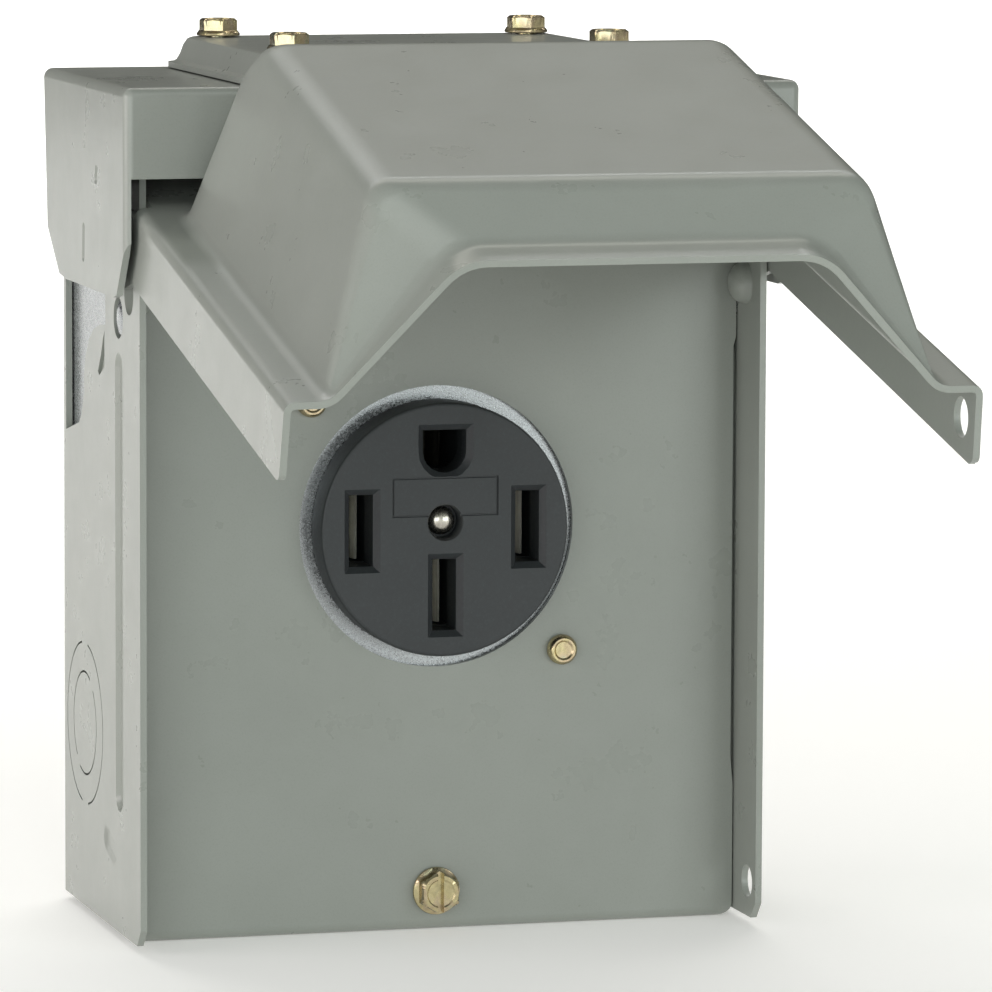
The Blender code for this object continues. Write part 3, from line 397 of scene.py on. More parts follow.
def boolean(o, cutter, op="DIFFERENCE", keep=False):
    m = o.modifiers.new("b", "BOOLEAN")
    m.operation = op
    m.solver = "EXACT"
    m.object = cutter
    dg = bpy.context.evaluated_depsgraph_get()
    dg.update()
    me = bpy.data.meshes.new_from_object(o.evaluated_get(dg))
    o.modifiers.clear()
    old = o.data
    mats = [s for s in old.materials]
    o.data = me
    me.materials.clear()
    for s in mats[:1]:
        me.materials.append(s)
    for p in me.polygons:
        p.material_index = 0
    bpy.data.meshes.remove(old)
    if not keep:
        bpy.data.objects.remove(cutter, do_unlink=True)
    return o


def tidy(o, dist=2e-6):
    bm = bmesh.new()
    bm.from_mesh(o.data)
    bmesh.ops.remove_doubles(bm, verts=bm.verts, dist=dist)
    bmesh.ops.dissolve_degenerate(bm, edges=bm.edges, dist=1e-6)
    bm.to_mesh(o.data)
    bm.free()
    return o


def cyl(axis, c, r, h, n=24):
    return turned("cut", [(r, 0), (r, h)], axis, c, max(48, n), None, False)


def slab(u0, u1, axis, a, b):
    return prism("cut", [(u0[0], u1[0]), (u0[1], u1[0]), (u0[1], u1[1]), (u0[0], u1[1])], axis, a, b)


def obround(p0, p1, w, n=8):
    """Outline round the segment p0-p1."""
    dx, dy = p1[0] - p0[0], p1[1] - p0[1]
    a = math.atan2(dy, dx)
    out = []
    for k in range(n + 1):
        t = a - math.pi / 2 + math.pi * k / n
        out.append((p1[0] + w * math.cos(t), p1[1] + w * math.sin(t)))
    for k in range(n + 1):
        t = a + math.pi / 2 + math.pi * k / n
        out.append((p0[0] + w * math.cos(t), p0[1] + w * math.sin(t)))
    return out


def boss(p0, p1, levels, n=16):
    n = max(n, 16)
    """Loft of obrounds in the YZ plane: levels are (x, half width)."""
    rings = [[(x, p[0], p[1]) for p in obround(p0, p1, w, n)] for x, w in levels]
    return loft("cut", rings, None, False)


def arc_slot(c, r, w, a0, a1, n, x0, x1, axis="X"):
    """Cutter for a thin curved slot."""
    pts = []
    for k in range(n + 1):
        a = a0 + (a1 - a0) * k / n
        pts.append((c[0] + (r + w / 2) * math.cos(a), c[1] + (r + w / 2) * math.sin(a)))
    for k in range(n, -1, -1):
        a = a0 + (a1 - a0) * k / n
        pts.append((c[0] + (r - w / 2) * math.cos(a), c[1] + (r - w / 2) * math.sin(a)))
    return prism("cut", pts, axis, x0, x1)


def fillet(pts, r, n=3):
    """Round the corners of a closed 2-D polygon; r is a number or a list."""
    out = []
    m = len(pts)
    for i in range(m):
        rr = r[i] if isinstance(r, (list, tuple)) else r
        p = np.array(pts[i], float)
        a = np.array(pts[i - 1], float) - p
        b = np.array(pts[(i + 1) % m], float) - p
        if rr <= 0:
            out.append(tuple(p))
            continue
        la, lb = np.linalg.norm(a), np.linalg.norm(b)
        a, b = a / la, b / lb
        half = math.acos(max(-1, min(1, float(a @ b)))) / 2
        d = rr / math.tan(half)
        p0, p1 = p + a * d, p + b * d
        cen = p + (a + b) / np.linalg.norm(a + b) * (rr / math.sin(half))
        v0, v1 = p0 - cen, p1 - cen
        t0, t1 = math.atan2(v0[1], v0[0]), math.atan2(v1[1], v1[0])
        dt = (t1 - t0 + math.pi) % (2 * math.pi) - math.pi
        for k in range(n + 1):
            t = t0 + dt * k / n
            out.append((cen[0] + rr * math.cos(t), cen[1] + rr * math.sin(t)))
    return out


# ---------------------------------------------------------------- enclosure body
def build_body():
    w, d, t, r = BODY_HALF_W, BODY_DEPTH, SHEET, BODY_CORNER_R
    outline = [(-w, 0), (-w, d), (w, d), (w, 0), (w - t, 0), (w - t, d - t), (-w + t, d - t), (-w + t, 0)]
    rad = [0, r, r, 0, 0, r - t, r - t, 0]
    o = prism("enclosure_body", fillet(outline, rad, 10), "Z", 0.0, BODY_TOP, PAINT)
    cy, cz = FLANGE_CHAMFER
    for lo, hi in ((-w - 2, -w + 3), (w - 3, w + 2)):
        boolean(o, prism("cut", [(-1, -1), (cy, -1), (cy, 0), (0, cz), (-1, cz)], "X", lo, hi))
        boolean(o, prism("cut", [(-1, BODY_TOP + 1), (-1, BODY_TOP - 12), (0, BODY_TOP - 12), (9, BODY_TOP + 0.0), (9, BODY_TOP + 1)], "X", lo, hi))
        # window at the upper rear of the wall
        win = [(32.4, 140.0), (32.4, 127.8), (38.0, 127.3), (44.0, 125.9), (48.5, 123.3), (52.0, 119.3),
               (53.6, 115.0), (53.2, 111.6), (56.3, 106.2), (58.6, 104.4), (71.5, 101.6), (71.5, 140.0)]
        boolean(o, prism("cut", win, "X", lo, hi))
    for s in (-1, 1):
        # vertical bead, pressed inward
        boolean(o, boss((19.65, 29.4), (19.65, 119.6), [(s * (w + 0.5), 3.95), (s * w, 3.55), (s * (w - 0.9), 2.3)]))
        boolean(o, boss((19.65, 29.4), (19.65, 119.6), [(s * (w - t + 0.3), 2.45), (s * (w - t), 2.4), (s * (w - t - 0.9), 1.5)]), "UNION")
        # crease left beside the rear window
        boolean(o, prism("cut", [(33.3, 126.6), (34.4, 124.9), (36.8, 121.0), (39.6, 117.3), (38.4, 116.5), (33.3, 118.8)], "X", min(s * (w - 0.8), s * (w + 1)), max(s * (w - 0.8), s * (w + 1))))
        # round retaining dimple
        dome = [(w - t + 0.3, 4.65), (w - t, 4.6), (w - t - 1.2, 4.35), (w - t - 2.3, 3.7), (w - t - 3.2, 2.5), (w - t - 3.6, 1.1)]
        cup = [(w + 0.4, 4.5), (w, 4.2), (w - 0.8, 3.95), (w - 2.0, 3.3), (w - 2.9, 2.2), (w - 3.3, 0.9)]
        boolean(o, boss((10.0, 135.95), (10.0, 136.05), [(s * x, r) for x, r in dome], 8), "UNION")
        boolean(o, boss((10.0, 135.95), (10.0, 136.05), [(s * x, r) for x, r in cup], 8))
        # small lance mark near the bottom
        boolean(o, boss((25.0, 16.2), (32.0, 18.4), [(s * (w + 0.4), 3.1), (s * w, 2.8), (s * (w - 0.55), 1.5)], 6))
        # hole showing the bracket, and the pivot hole
        boolean(o, cyl("+X" if s > 0 else "-X", (s * (w - 3), 20.0, 130.4), 4.4, 6, 24))
        boolean(o, cyl("+X" if s > 0 else "-X", (s * (w - 3), PIVOT[0], PIVOT[1]), 1.8, 6, 20))
        # concentric knockout, held by tabs
        for k, (rr, off) in enumerate(zip(KO_R, (0.0, math.radians(35)))):
            for q in range(2):
                a0 = math.pi * q - math.pi / 2 + math.radians(9) + off
                a1 = a0 + math.pi - math.radians(18)
                boolean(o, arc_slot(KO_C, rr, KO_SLOT, a0, a1, 48, s * w - 2.5, s * w + 2.5))
    # padlock hole, right flange only
    boolean(o, cyl("+X", (w - 4, PADLOCK[0], PADLOCK[1]), PADLOCK_R, 8, 24))
    # wall fixing holes in the back
    for x, z in ((-45, 160), (45, 160), (-45, 16), (45, 16)):
        boolean(o, cyl("+Y", (x, d - 4, z), 2.9, 8, 20))
    # hole for the ground lug screw
    boolean(o, cyl("+Y", (-38, d - 4, 40), 1.9, 8, 16))
    tidy(o)
    shade(o, 30)
    return o


def build_bottom():
    o = prism("bottom_end_plate", [(17.3, 0.2), (74.0 - 0.3, 0.2), (73.7, 1.6), (18.7, 1.6), (18.7, 15.0), (17.3, 15.0)],
              "X", -BODY_HALF_W + SHEET + 0.3, BODY_HALF_W - SHEET - 0.3, PAINT)
    # front lip keeps only a centre tab and lets the panel flange pass
    boolean(o, slab((-70, -16), (2.2, 20), "Y", 16, 20))
    boolean(o, slab((16, 70), (2.2, 20), "Y", 16, 20))
    boolean(o, cyl("+Y", (0, 15, COVER_SCREW_Z), 2.2, 6, 20))
    for rr, off in zip(KO_R, (0.0, math.radians(35))):
        for q in range(2):
            a0 = math.pi * q - math.pi / 2 + math.radians(9) + off
            a1 = a0 + math.pi - math.radians(18)
            boolean(o, arc_slot((0, 46), rr, KO_SLOT, a0, a1, 48, -2, 4, "Z"))
    tidy(o)
    shade(o, 30)
    return o


def build_bracket(s):
    x0 = s * (BODY_HALF_W - SHEET - 0.3)
    x1 = x0 - s * 1.2
    pts = [(17.4, 150.0), (17.4, 126.0), (26.5, 121.0), (30.0, 112.0), (48.0, 100.0), (58.0, 97.0), (73.6, 97.0), (73.6, 150.0)]
    o = prism("hinge_bracket_" + ("right" if s > 0 else "left"), pts, "X", min(x0, x1), max(x0, x1), GALV)
    prof = [(2.4, -0.6), (2.4, 0.35), (4.0, 0.35), (4.0, 0.9), (3.5, 1.3), (2.2, 1.55), (0.8, 1.65)]
    boolean(o, turned("cut", prof, "+X" if s > 0 else "-X", (x0, 20.0, 130.4), 24, None, False), "UNION")
    tidy(o)
    shade(o, 30)
    return o


# ---------------------------------------------------------------- dead-front panel
def build_panel():
    t = SHEET
    y0, y1 = PANEL_Y, PANEL_Y + t
    zb, zt = PANEL_BOTTOM, PANEL_TOP
    prof = [(y0, zb), (y0, zt), (PANEL_FLANGE_Y, zt), (PANEL_FLANGE_Y, zt - t), (y1, zt - t), (y1, zb + t),
            (PANEL_FLANGE_Y, zb + t), (PANEL_FLANGE_Y, zb)]
    rad = [2.4, 2.4, 0, 0, 1.0, 1.0, 0, 0]
    o = prism("dead_front_panel", fillet(prof, rad, 12), "X", -PANEL_HALF_W, PANEL_HALF_W, PAINT)
    w = PANEL_HALF_W
    for s in (-1, 1):
        # bottom corner relief, rounded in front view, flange shortened
        c = [(s * (w + 1), -4), (s * (w + 1), 1.2), (s * (w - 0.0), 1.2)]
        for k in range(1, 7):
            a = math.pi / 2 * k / 6
            c.append((s * (w - 3.6 * (1 - math.cos(a))), 1.2 - 2.95 * math.sin(a)))
        c += [(s * (w - 3.6), -4)]
        boolean(o, prism("cut", c, "Y", PANEL_Y - 2, PANEL_FLANGE_Y + 3))
    # long side relief on the right edge
    boolean(o, prism("cut", [(w + 1, 27), (w, 27), (w - 0.55, 33), (w - 0.55, 122), (w, 124), (w + 1, 124)], "Y", PANEL_Y - 2, PANEL_Y + 3))
    boolean(o, cyl("+Y", (0, PANEL_Y - 3, RECEPT_Z), PANEL_HOLE_R, 8, 160))
    for s in (-1, 1):
        boolean(o, cyl("+Y", (s * EAR[0], PANEL_Y - 3, RECEPT_Z - s * EAR[1]), 2.3, 8, 20))
    boolean(o, cyl("+Y", (0, PANEL_Y - 3, COVER_SCREW_Z), 2.4, 8, 20))
    tidy(o)
    shade(o, 30)
    return o


# ---------------------------------------------------------------- rain cap
def build_cap():
    t, w = SHEET, CAP_HALF_W

    def shell(hw, y0, y1, z0, z1, r, name):
        ring = []
        # lofted in X: section in YZ with a rounded top front edge, ends rounded at the top
        o = box(name, (-hw, hw), (y0, y1), (z0, z1), PAINT)
        bm = bmesh.new()
        bm.from_mesh(o.data)
        es = []
        for e in bm.edges:
            a, b = e.verts[0].co / MM, e.verts[1].co / MM
            top = abs(a.z - z1) < 1e-3 and abs(b.z - z1) < 1e-3
            front = abs(a.y - y0) < 1e-3 and abs(b.y - y0) < 1e-3
            side = abs(abs(a.x) - hw) < 1e-3 and abs(abs(b.x) - hw) < 1e-3 and abs(a.x - b.x) < 1e-3
            if (top and front) or (top and side) or (front and side):
                es.append(e)
        bmesh.ops.bevel(bm, geom=es, offset=r * MM, segments=10, profile=0.5, affect="EDGES")
        bm.to_mesh(o.data)
        bm.free()
        return o
    o = shell(w, CAP_FRONT, 90, 110, CAP_TOP, 2.0, "rain_cap")
    inner = shell(w - t, CAP_FRONT + t, 95, 100, CAP_TOP - t, 0.7, "cut")
    boolean(o, inner)
    # front flange stops above the hood
    boolean(o, box("cut", (-(w - t), w - t), (-12, 0), (90, CAP_FLANGE_Z)))
    # end flange outline and the back
    cut = [(-20, 100), (-20, 148.0), (-7.3, 148.0), (-6.0, 145.6), (0.3, 136.9), (3.0, CAP_END_Z), (48.9, CAP_END_Z), (55.9, 136.9),
           (67.6, 146.1), (70.6, 176.0), (CAP_BACK - 0.2, 178.0), (CAP_BACK - 0.2, 200), (120, 200), (120, 100)]
    boolean(o, prism("cut", cut, "X", -90, 90))
    # hub opening and its four screw holes
    boolean(o, cyl("+Z", (HUB_C[0], HUB_C[1], CAP_TOP - 4), 22.5, 8, 96))
    for sx in (-1, 1):
        for sy in (-1, 1):
            boolean(o, cyl("+Z", (HUB_C[0] + sx * HUB_SCREW[0], HUB_C[1] + sy * HUB_SCREW[1], CAP_TOP - 4), 2.0, 8, 16))
    # weld dimples that bridge to the side walls
    for s in (-1, 1):
        for y, z in ((19.7, 160.5), (32.0, 145.4)):
            boolean(o, boss((y, z - 0.05), (y, z + 0.05), [(s * (w - t + 0.2), 3.3), (s * (w - t), 3.2), (s * (BODY_HALF_W + 0.3), 2.0)], 6), "UNION")
            h = 0.9 if z > 150 else 3.0
            boolean(o, boss((y, z - h), (y - 0.4, z + h), [(s * (w + 0.3), 1.35), (s * w, 1.2), (s * (w - 0.75), 0.4)], 6))
    tidy(o)
    shade(o, 30)
    return o


# ---------------------------------------------------------------- hub closing plate and screws
def rrect(hx, hy, r, n=5):
    pts = fillet([(-hx, -hy), (hx, -hy), (hx, hy), (-hx, hy)], r, n)
    return pts


def build_hub_plate():
    cx, cy = HUB_C
    hx, hy = HUB_HALF

    def ring(inset, z, r):
        return [(cx + p[0], cy + p[1], z) for p in rrect(hx - inset, hy - inset * HUB_FLARE_Y, max(r - inset * 0.8, 1.0), 12)]
    b, tp, t = HUB_BASE_Z, HUB_TOP_Z, HUB_T
    R = 7.0
    up = [(0.0, b + t), (1.0, b + t), (2.0, b + t + 0.4), (2.9, b + t + 1.7), (3.7, tp - 1.6), (4.7, tp - 0.35), (6.0, tp)]
    lo = [(7.2, tp - t), (5.9, tp - t - 0.35), (4.9, tp - t - 1.6), (4.1, b + 1.5), (3.2, b + 0.4), (2.2, b), (0.0, b)]
    rings = [ring(i, z, R) for i, z in lo] + [ring(i, z, R) for i, z in up]
    o = loft("hub_closing_plate", rings, PAINT, False)
    for sx in (-1, 1):
        for sy in (-1, 1):
            boolean(o, cyl("+Z", (cx + sx * HUB_SCREW[0], cy + sy * HUB_SCREW[1], tp - 4), 2.5, 8, 16))
    tidy(o)
    shade(o, 30)
    return o


def hex_screw(name, axis, c, af, flange_r, flange_h, head_h, shank_r, shank_l, material, slot=None):
    n = 72
    k = 1.08
    rings = []

    def add(ring, h):
        rings.append([orient(p, h, axis, c) for p in ring])
    add(circ(shank_r * 0.7, n), -shank_l)
    add(circ(shank_r, n), -shank_l + 0.5)
    add(circ(shank_r, n), 0.0)
    add(circ(flange_r - 0.15, n), 0.0)
    add(circ(flange_r, n), 0.2)
    add(circ(flange_r - 0.1, n), flange_h * 0.7)
    add(hexring(af + 0.5, n), flange_h)
    add(hexring(af, n), flange_h + 0.25)
    add(hexring(af, n), head_h - 0.45)
    add(circ(af / 2 - 0.15, n), head_h)
    add(circ(af / 2 - 0.9, n), head_h)
    add(circ(af / 2 - 1.2, n), head_h - 0.25)
    o = loft(name, rings, material, False)
    if slot:
        a, d = slot
        if axis == "-Y":
            boolean(o, box("cut", (c[0] - a / 2, c[0] + a / 2), (c[1] - head_h - 1, c[1] - head_h + d), (c[2] - 8, c[2] + 8)))
            tidy(o)
    shade(o, 30)
    return o


# ---------------------------------------------------------------- hood
CA, SA = math.cos(HOOD_OPEN), math.sin(HOOD_OPEN)


def hood_pt(x, s, n):
    """Hood coordinates (across, along from the pivot, up from the arms) to world, open."""
    return (x, PIVOT[0] - s * CA - n * SA, PIVOT[1] - s * SA + n * CA)


def bez(a, b, c, n):
    a, b, c = (np.array(v, float) for v in (a, b, c))
    return [tuple((1 - t) ** 2 * a + 2 * t * (1 - t) * b + t * t * c) for t in np.linspace(0, 1, n)]


def hood_section(base_x, ridge_x, ridge_n, low, base_cut=2.4, ridge_cut=5.5, q=(4, 4, 5)):
    """Half cross-section from the arm's lower edge to the centre: list of (x, n)."""
    N = HOOD_RIM_N
    W = HOOD_HALF_W
    pts = [(W, low), (W, 3.4), (W, 8.6), (W, N - HOOD_BEND)]
    pts += bez((W, N - HOOD_BEND), (W, N), (W - HOOD_BEND, N), q[0])[1:]
    pts += [(66.0, N)]
    b = np.array((base_x, N))
    r = np.array((ridge_x, ridge_n))
    v = (r - b) / np.linalg.norm(r - b)
    L = np.linalg.norm(r - b)
    bc = min(base_cut, L * 0.3)
    rc = min(ridge_cut, L * 0.45)
    pts += bez(b + np.array((min(bc, 65.2 - base_x), 0)), b, b + v * bc, q[1])
    pts += bez(r - v * rc, r, r - np.array((rc, 0)), q[2])
    pts += [(ridge_x * 0.4, ridge_n), (0.0, ridge_n)]
    return pts


def hood_grid(q=(4, 4, 5), rows=4):
    """Outer surface of the hood: list of rows, each a list of (x, s, n) for x >= 0."""
    N = HOOD_RIM_N
    B = 61.0
    # key rows: (section args, s for arm/rim columns, s for ridge/top columns)
    keys = [
        (dict(base_x=B, ridge_x=56.0, ridge_n=N), 13.5, 13.5, 0.0),
        (dict(base_x=B, ridge_x=57.0, ridge_n=N), 18.0, 16.0, 3.5),
        (dict(base_x=B, ridge_x=49.6, ridge_n=55.8), 24.0, 29.0, 7.0),
        (dict(base_x=B, ridge_x=50.0, ridge_n=52.7), 139.4, 122.9, 3.4),
        (dict(base_x=B, ridge_x=36.3, ridge_n=43.4), 141.6, 133.8, 2.2),
        (dict(base_x=B, ridge_x=36.3, ridge_n=42.3), 142.6, 141.2, 0.0),
    ]
    secs = []
    for a, s0, s1, cut in keys:
        sec = hood_section(low=HOOD_ARM_LOW, q=q, **a)
        nb = 4 + (q[0] - 1) + 1 + (q[1] - 1)      # index where the side facet starts
        ne = nb + 1 + (q[2] - 1) // 2             # index of the ridge middle
        row = []
        for i, (x, n) in enumerate(sec):
            t = min(1.0, max(0.0, (i - nb) / (ne - nb)))
            # slide along s with the height of the point
            if a["ridge_n"] > N + 1:
                t = min(1.0, max(0.0, (n - N) / (a["ridge_n"] - N)))
            else:
                t = min(1.0, max(0.0, (i - nb) / max(1, ne - nb)))
            lean = 0.07 * (n - N) if s0 > 100 and n < N else 0.0
            row.append(np.array((x, s0 + (s1 - s0) * t + lean, n)))
        secs.append(row)
    cuts = [k[3] for k in keys]
    cols = len(secs[0])
    out = [[] for _ in range(1)]
    grid = []
    # build each column as a rounded polyline along s
    columns = []
    for c in range(cols):
        P = [secs[k][c] for k in range(len(keys))]
        line = [P[0]]
        for k in range(1, len(P) - 1):
            a, b, d = P[k - 1], P[k], P[k + 1]
            la, lb = np.linalg.norm(a - b), np.linalg.norm(d - b)
            ca = min(cuts[k], la * 0.45)
            cb = min(cuts[k], lb * 0.45)
            line += [np.array(v) for v in bez(b + (a - b) / la * ca, b, b + (d - b) / lb * cb, rows)]
            if k == 2:
                line += [line[-1] * (1 - f) + (d + (b - d) / lb * min(cuts[3], lb * 0.45)) * f for f in (0.33, 0.67)]
        line.append(P[-1])
        columns.append(line)
    nrow = len(columns[0])
    return [[columns[c][r] for c in range(cols)] for r in range(nrow)]


def shell_from(verts, faces, t):
    """Closed solid from an open surface, thickened against the vertex normals."""
    V = np.array(verts, float)
    nrm = np.zeros_like(V)
    cnt = [[] for _ in V]
    for f in faces:
        p = V[list(f)]
        n = np.zeros(3)
        for i in range(len(f)):
            n += np.cross(p[i] - p[0], p[(i + 1) % len(f)] - p[0])
        n /= max(np.linalg.norm(n), 1e-12)
        for i in f:
            nrm[i] += n
            cnt[i].append(n)
    off = np.zeros_like(V)
    for i in range(len(V)):
        n = nrm[i] / max(np.linalg.norm(nrm[i]), 1e-12)
        c = min(float(n @ m) for m in cnt[i])
        off[i] = n * t / max(c, 0.6)
    inner = V - off
    m = len(V)
    edges = {}
    for f in faces:
        for i in range(len(f)):
            a, b = f[i], f[(i + 1) % len(f)]
            edges[(a, b)] = edges.get((a, b), 0) + 1
    F = [tuple(f) for f in faces] + [tuple(i + m for i in f[::-1]) for f in faces]
    for (a, b) in edges:
        if (b, a) not in edges:
            F.append((b, a, a + m, b + m))
    return np.vstack([V, inner]), F


def hood_surface(q=(4, 4, 5), rows=4):
    half = hood_grid(q, rows)
    ncol = len(half[0])
    rimcol = 4 + (q[0] - 1)          # column at x = 66
    verts, index = [], {}

    def vid(key, p):
        if key not in index:
            index[key] = len(verts)
            verts.append(p)
        return index[key]
    full = 2 * ncol - 1

    def col_point(row, c):
        # c from 0 (right arm low) to full-1 (left arm low)
        if c < ncol:
            x, s, n = row[c]
            if s > 100 and n < HOOD_RIM_N:
                s -= 0.16 * (n - HOOD_RIM_N)      # the padlock arm's free end is cut squarer
            return (x, s, n)
        x, s, n = row[full - 1 - c]
        return (-x, s, n)
    # extra rows behind: rear plate (between the side walls) and the arm ears
    N = HOOD_RIM_N
    R = 5.6
    base = half[0]
    rear = []
    for s in (-21.0, -6.0, 6.0):
        rear.append([(p[0], s, N) if 0 else (p[0], s, p[2]) for p in base])
    rows_all = rear + half
    ears = {
        2: [(8.0, -3.6), (7.4, 2.8), (7.4, 8.6), (7.0, N - 2.4)],
        1: [(1.0, -R), (0.0, 1.6), (1.2, 8.0), (2.6, N - 3.2)],
        0: [(-4.6, -3.2), (-R, 0.6), (-4.4, 5.4), (-1.2, 10.4)],
    }
    faces = []
    nr = len(rows_all)
    for r in range(nr):
        for c in range(full):
            cc = c if c < ncol else full - 1 - c
            p = col_point(rows_all[r], c)
            if r < 3:
                if cc < 4:
                    e = ears[r][cc]
                    p = (math.copysign(HOOD_HALF_W, p[0]), e[0], e[1])
                elif cc < rimcol:
                    continue
            vid((r, c), hood_pt(*p))
    for r in range(nr - 1):
        for c in range(full - 1):
            ks = [(r, c), (r, c + 1), (r + 1, c + 1), (r + 1, c)]
            if r < 3:
                c0 = min(c if c < ncol else full - 1 - c, c + 1 if c + 1 < ncol else full - 2 - c)
                if 3 <= c0 < rimcol:
                    continue
            if all(k in index for k in ks):
                faces.append([index[k] for k in ks])
    return verts, faces


def build_hood():
    verts, faces = hood_surface((7, 8, 11), 9)
    # orient so that the outside is up / outward
    V = np.array(verts)
    f = faces[len(faces) // 2]
    vs, fs = None, faces
    n = np.cross(V[f[1]] - V[f[0]], V[f[2]] - V[f[0]])
    if n[2] < 0:
        fs = [g[::-1] for g in faces]
    vs, F = shell_from(verts, fs, SHEET)
    o = obj_from("hood", [tuple(v) for v in vs], F, PAINT)
    for s in (-1, 1):
        boolean(o, cyl("+X" if s > 0 else "-X", (s * (HOOD_HALF_W - 4), PIVOT[0], PIVOT[1]), 1.8, 8, 20))
    # padlock hole in the right arm, placed to meet the flange hole when closed
    dy, dz = PADLOCK[0] - PIVOT[0], PADLOCK[1] - PIVOT[1]
    c, s = math.cos(-HOOD_SWING), math.sin(-HOOD_SWING)
    ay, az = PIVOT[0] + c * dy - s * dz, PIVOT[1] + s * dy + c * dz
    boolean(o, cyl("+X", (HOOD_HALF_W - 5, ay, az), PADLOCK_R + 0.5, 9, 24))
    # rounded lower corner at the free end of each arm
    corner = [(146.0, -4.0), (146.0, 1.6), (141.75, 1.6)]
    corner += [(139.5 + 2.2 * math.cos(a), 1.45 - 2.2 * math.sin(a)) for a in np.linspace(0.15, math.pi / 2, 6)]
    corner += [(139.5, -4.0)]
    boolean(o, prism("cut", [hood_pt(0, p[0], p[1])[1:] for p in corner], "X", -90, -60))
    boolean(o, prism("cut", [hood_pt(0, p[0] + 2.3, p[1] + 0.3)[1:] for p in corner], "X", 60, 90))
    tidy(o)
    shade(o, 28)
    return o


# ---------------------------------------------------------------- receptacle
def slot_cut(x, z, w, h, y0, depth, bevel, round_bottom=False):
    """Bevelled pocket: outer size w x h at the face, narrower inside."""
    def outline(a, b):
        if round_bottom:
            r = min(a, b)
            pts = [(-a, b), (a, b), (a, 0)]
            pts += [(a * math.cos(-math.pi * k / 10), -b * 0.0 + b * math.sin(-math.pi * k / 10)) for k in range(1, 10)]
            pts += [(-a, 0)]
            return pts
        return [(-a, b), (a, b), (a, -b), (-a, -b)]
    levels = [(y0 - 0.6, 0.6), (y0, 0.0), (y0 + bevel, -bevel), (y0 + depth, -bevel)]
    rings = [[(x + p[0], y, z + p[1]) for p in outline(w / 2 + g, h / 2 + g)] for y, g in levels]
    return loft("cut", rings, None, False)


SLOT_BEVEL = 1.3
SLOTS = [(-18.1, 0.2, 7.8, 17.8, False), (18.3, 0.2, 7.8, 17.8, False), (0.1, -13.9, 7.8, 17.8, False), (0.1, 16.6, 12.1, 11.7, True)]


def build_face():
    c = (0, 0, RECEPT_Z)
    prof = [(FACE_R, STRAP_Y - 0.3), (FACE_R, FACE_Y + 0.8), (FACE_R - 0.25, FACE_Y + 0.25), (FACE_R - 0.8, FACE_Y)]
    rings = [[(r * math.cos(a), y, RECEPT_Z + r * math.sin(a)) for a in np.linspace(0, 2 * math.pi, 160, endpoint=False)] for r, y in prof]
    o = loft("receptacle_face", rings, BLACK, False)
    # label panel: a fine groove round a slightly sunk field
    boolean(o, box("cut", (-11.6, 11.6), (FACE_Y - 1, FACE_Y + 0.45), (RECEPT_Z + 2.9, RECEPT_Z + 11.3)))
    boolean(o, box("add", (-11.2, 11.2), (FACE_Y + 0.1, FACE_Y + 2.0), (RECEPT_Z + 3.3, RECEPT_Z + 10.9)), "UNION")
    for x, z, w, h, rb in SLOTS:
        boolean(o, slot_cut(x, RECEPT_Z + z, w, h, FACE_Y, 12, SLOT_BEVEL, rb))
    # centre rivet well
    boolean(o, turned("cut", [(4.5, -0.6), (3.95, 0.0), (3.6, 0.8), (3.6, 4.6)], "+Y", (0, FACE_Y, RECEPT_Z + 1.6), 24, None, False))
    boolean(o, turned("cut", [(1.7, 0), (1.7, 12)], "+Y", (0, FACE_Y + 3, RECEPT_Z + 1.6), 16, None, False))
    tidy(o)
    shade(o, 30)
    return o


def build_strap():
    y0, y1 = STRAP_Y, STRAP_Y + STRAP_T
    n = 240
    pts = []
    a0 = math.atan2(-EAR[1], EAR[0])
    d = math.hypot(*EAR)
    rr = 6.4
    for k in range(n):
        a = 2 * math.pi * k / n
        r = STRAP_R
        for q in (a0, a0 + math.pi):
            b = (a - q + math.pi) % (2 * math.pi) - math.pi
            # distance to the ear disc along this direction
            s = d * math.sin(abs(b))
            if s < rr and abs(b) < math.pi / 2:
                r = max(r, d * math.cos(b) + math.sqrt(rr * rr - s * s))
        pts.append((r * math.cos(a), RECEPT_Z + r * math.sin(a)))
    o = prism("mounting_strap", pts, "Y", y0, y1, GALV)
    for x, z, w, h, rb in SLOTS:
        boolean(o, box("cut", (x - w / 2 - 0.2, x + w / 2 + 0.2), (y0 - 2, y1 + 2), (RECEPT_Z + z - h / 2 - 0.2, RECEPT_Z + z + h / 2 + 0.2)))
    boolean(o, cyl("+Y", (0, y0 - 2, RECEPT_Z + 1.6), 2.1, 6, 20))
    for s in (-1, 1):
        boolean(o, cyl("+Y", (s * EAR[0], y0 - 2, RECEPT_Z - s * EAR[1]), 2.1, 6, 20))
    tidy(o)
    shade(o, 30)
    return o


REAR_Y0 = STRAP_Y + STRAP_T + 0.3
REAR_Y1 = 45.0


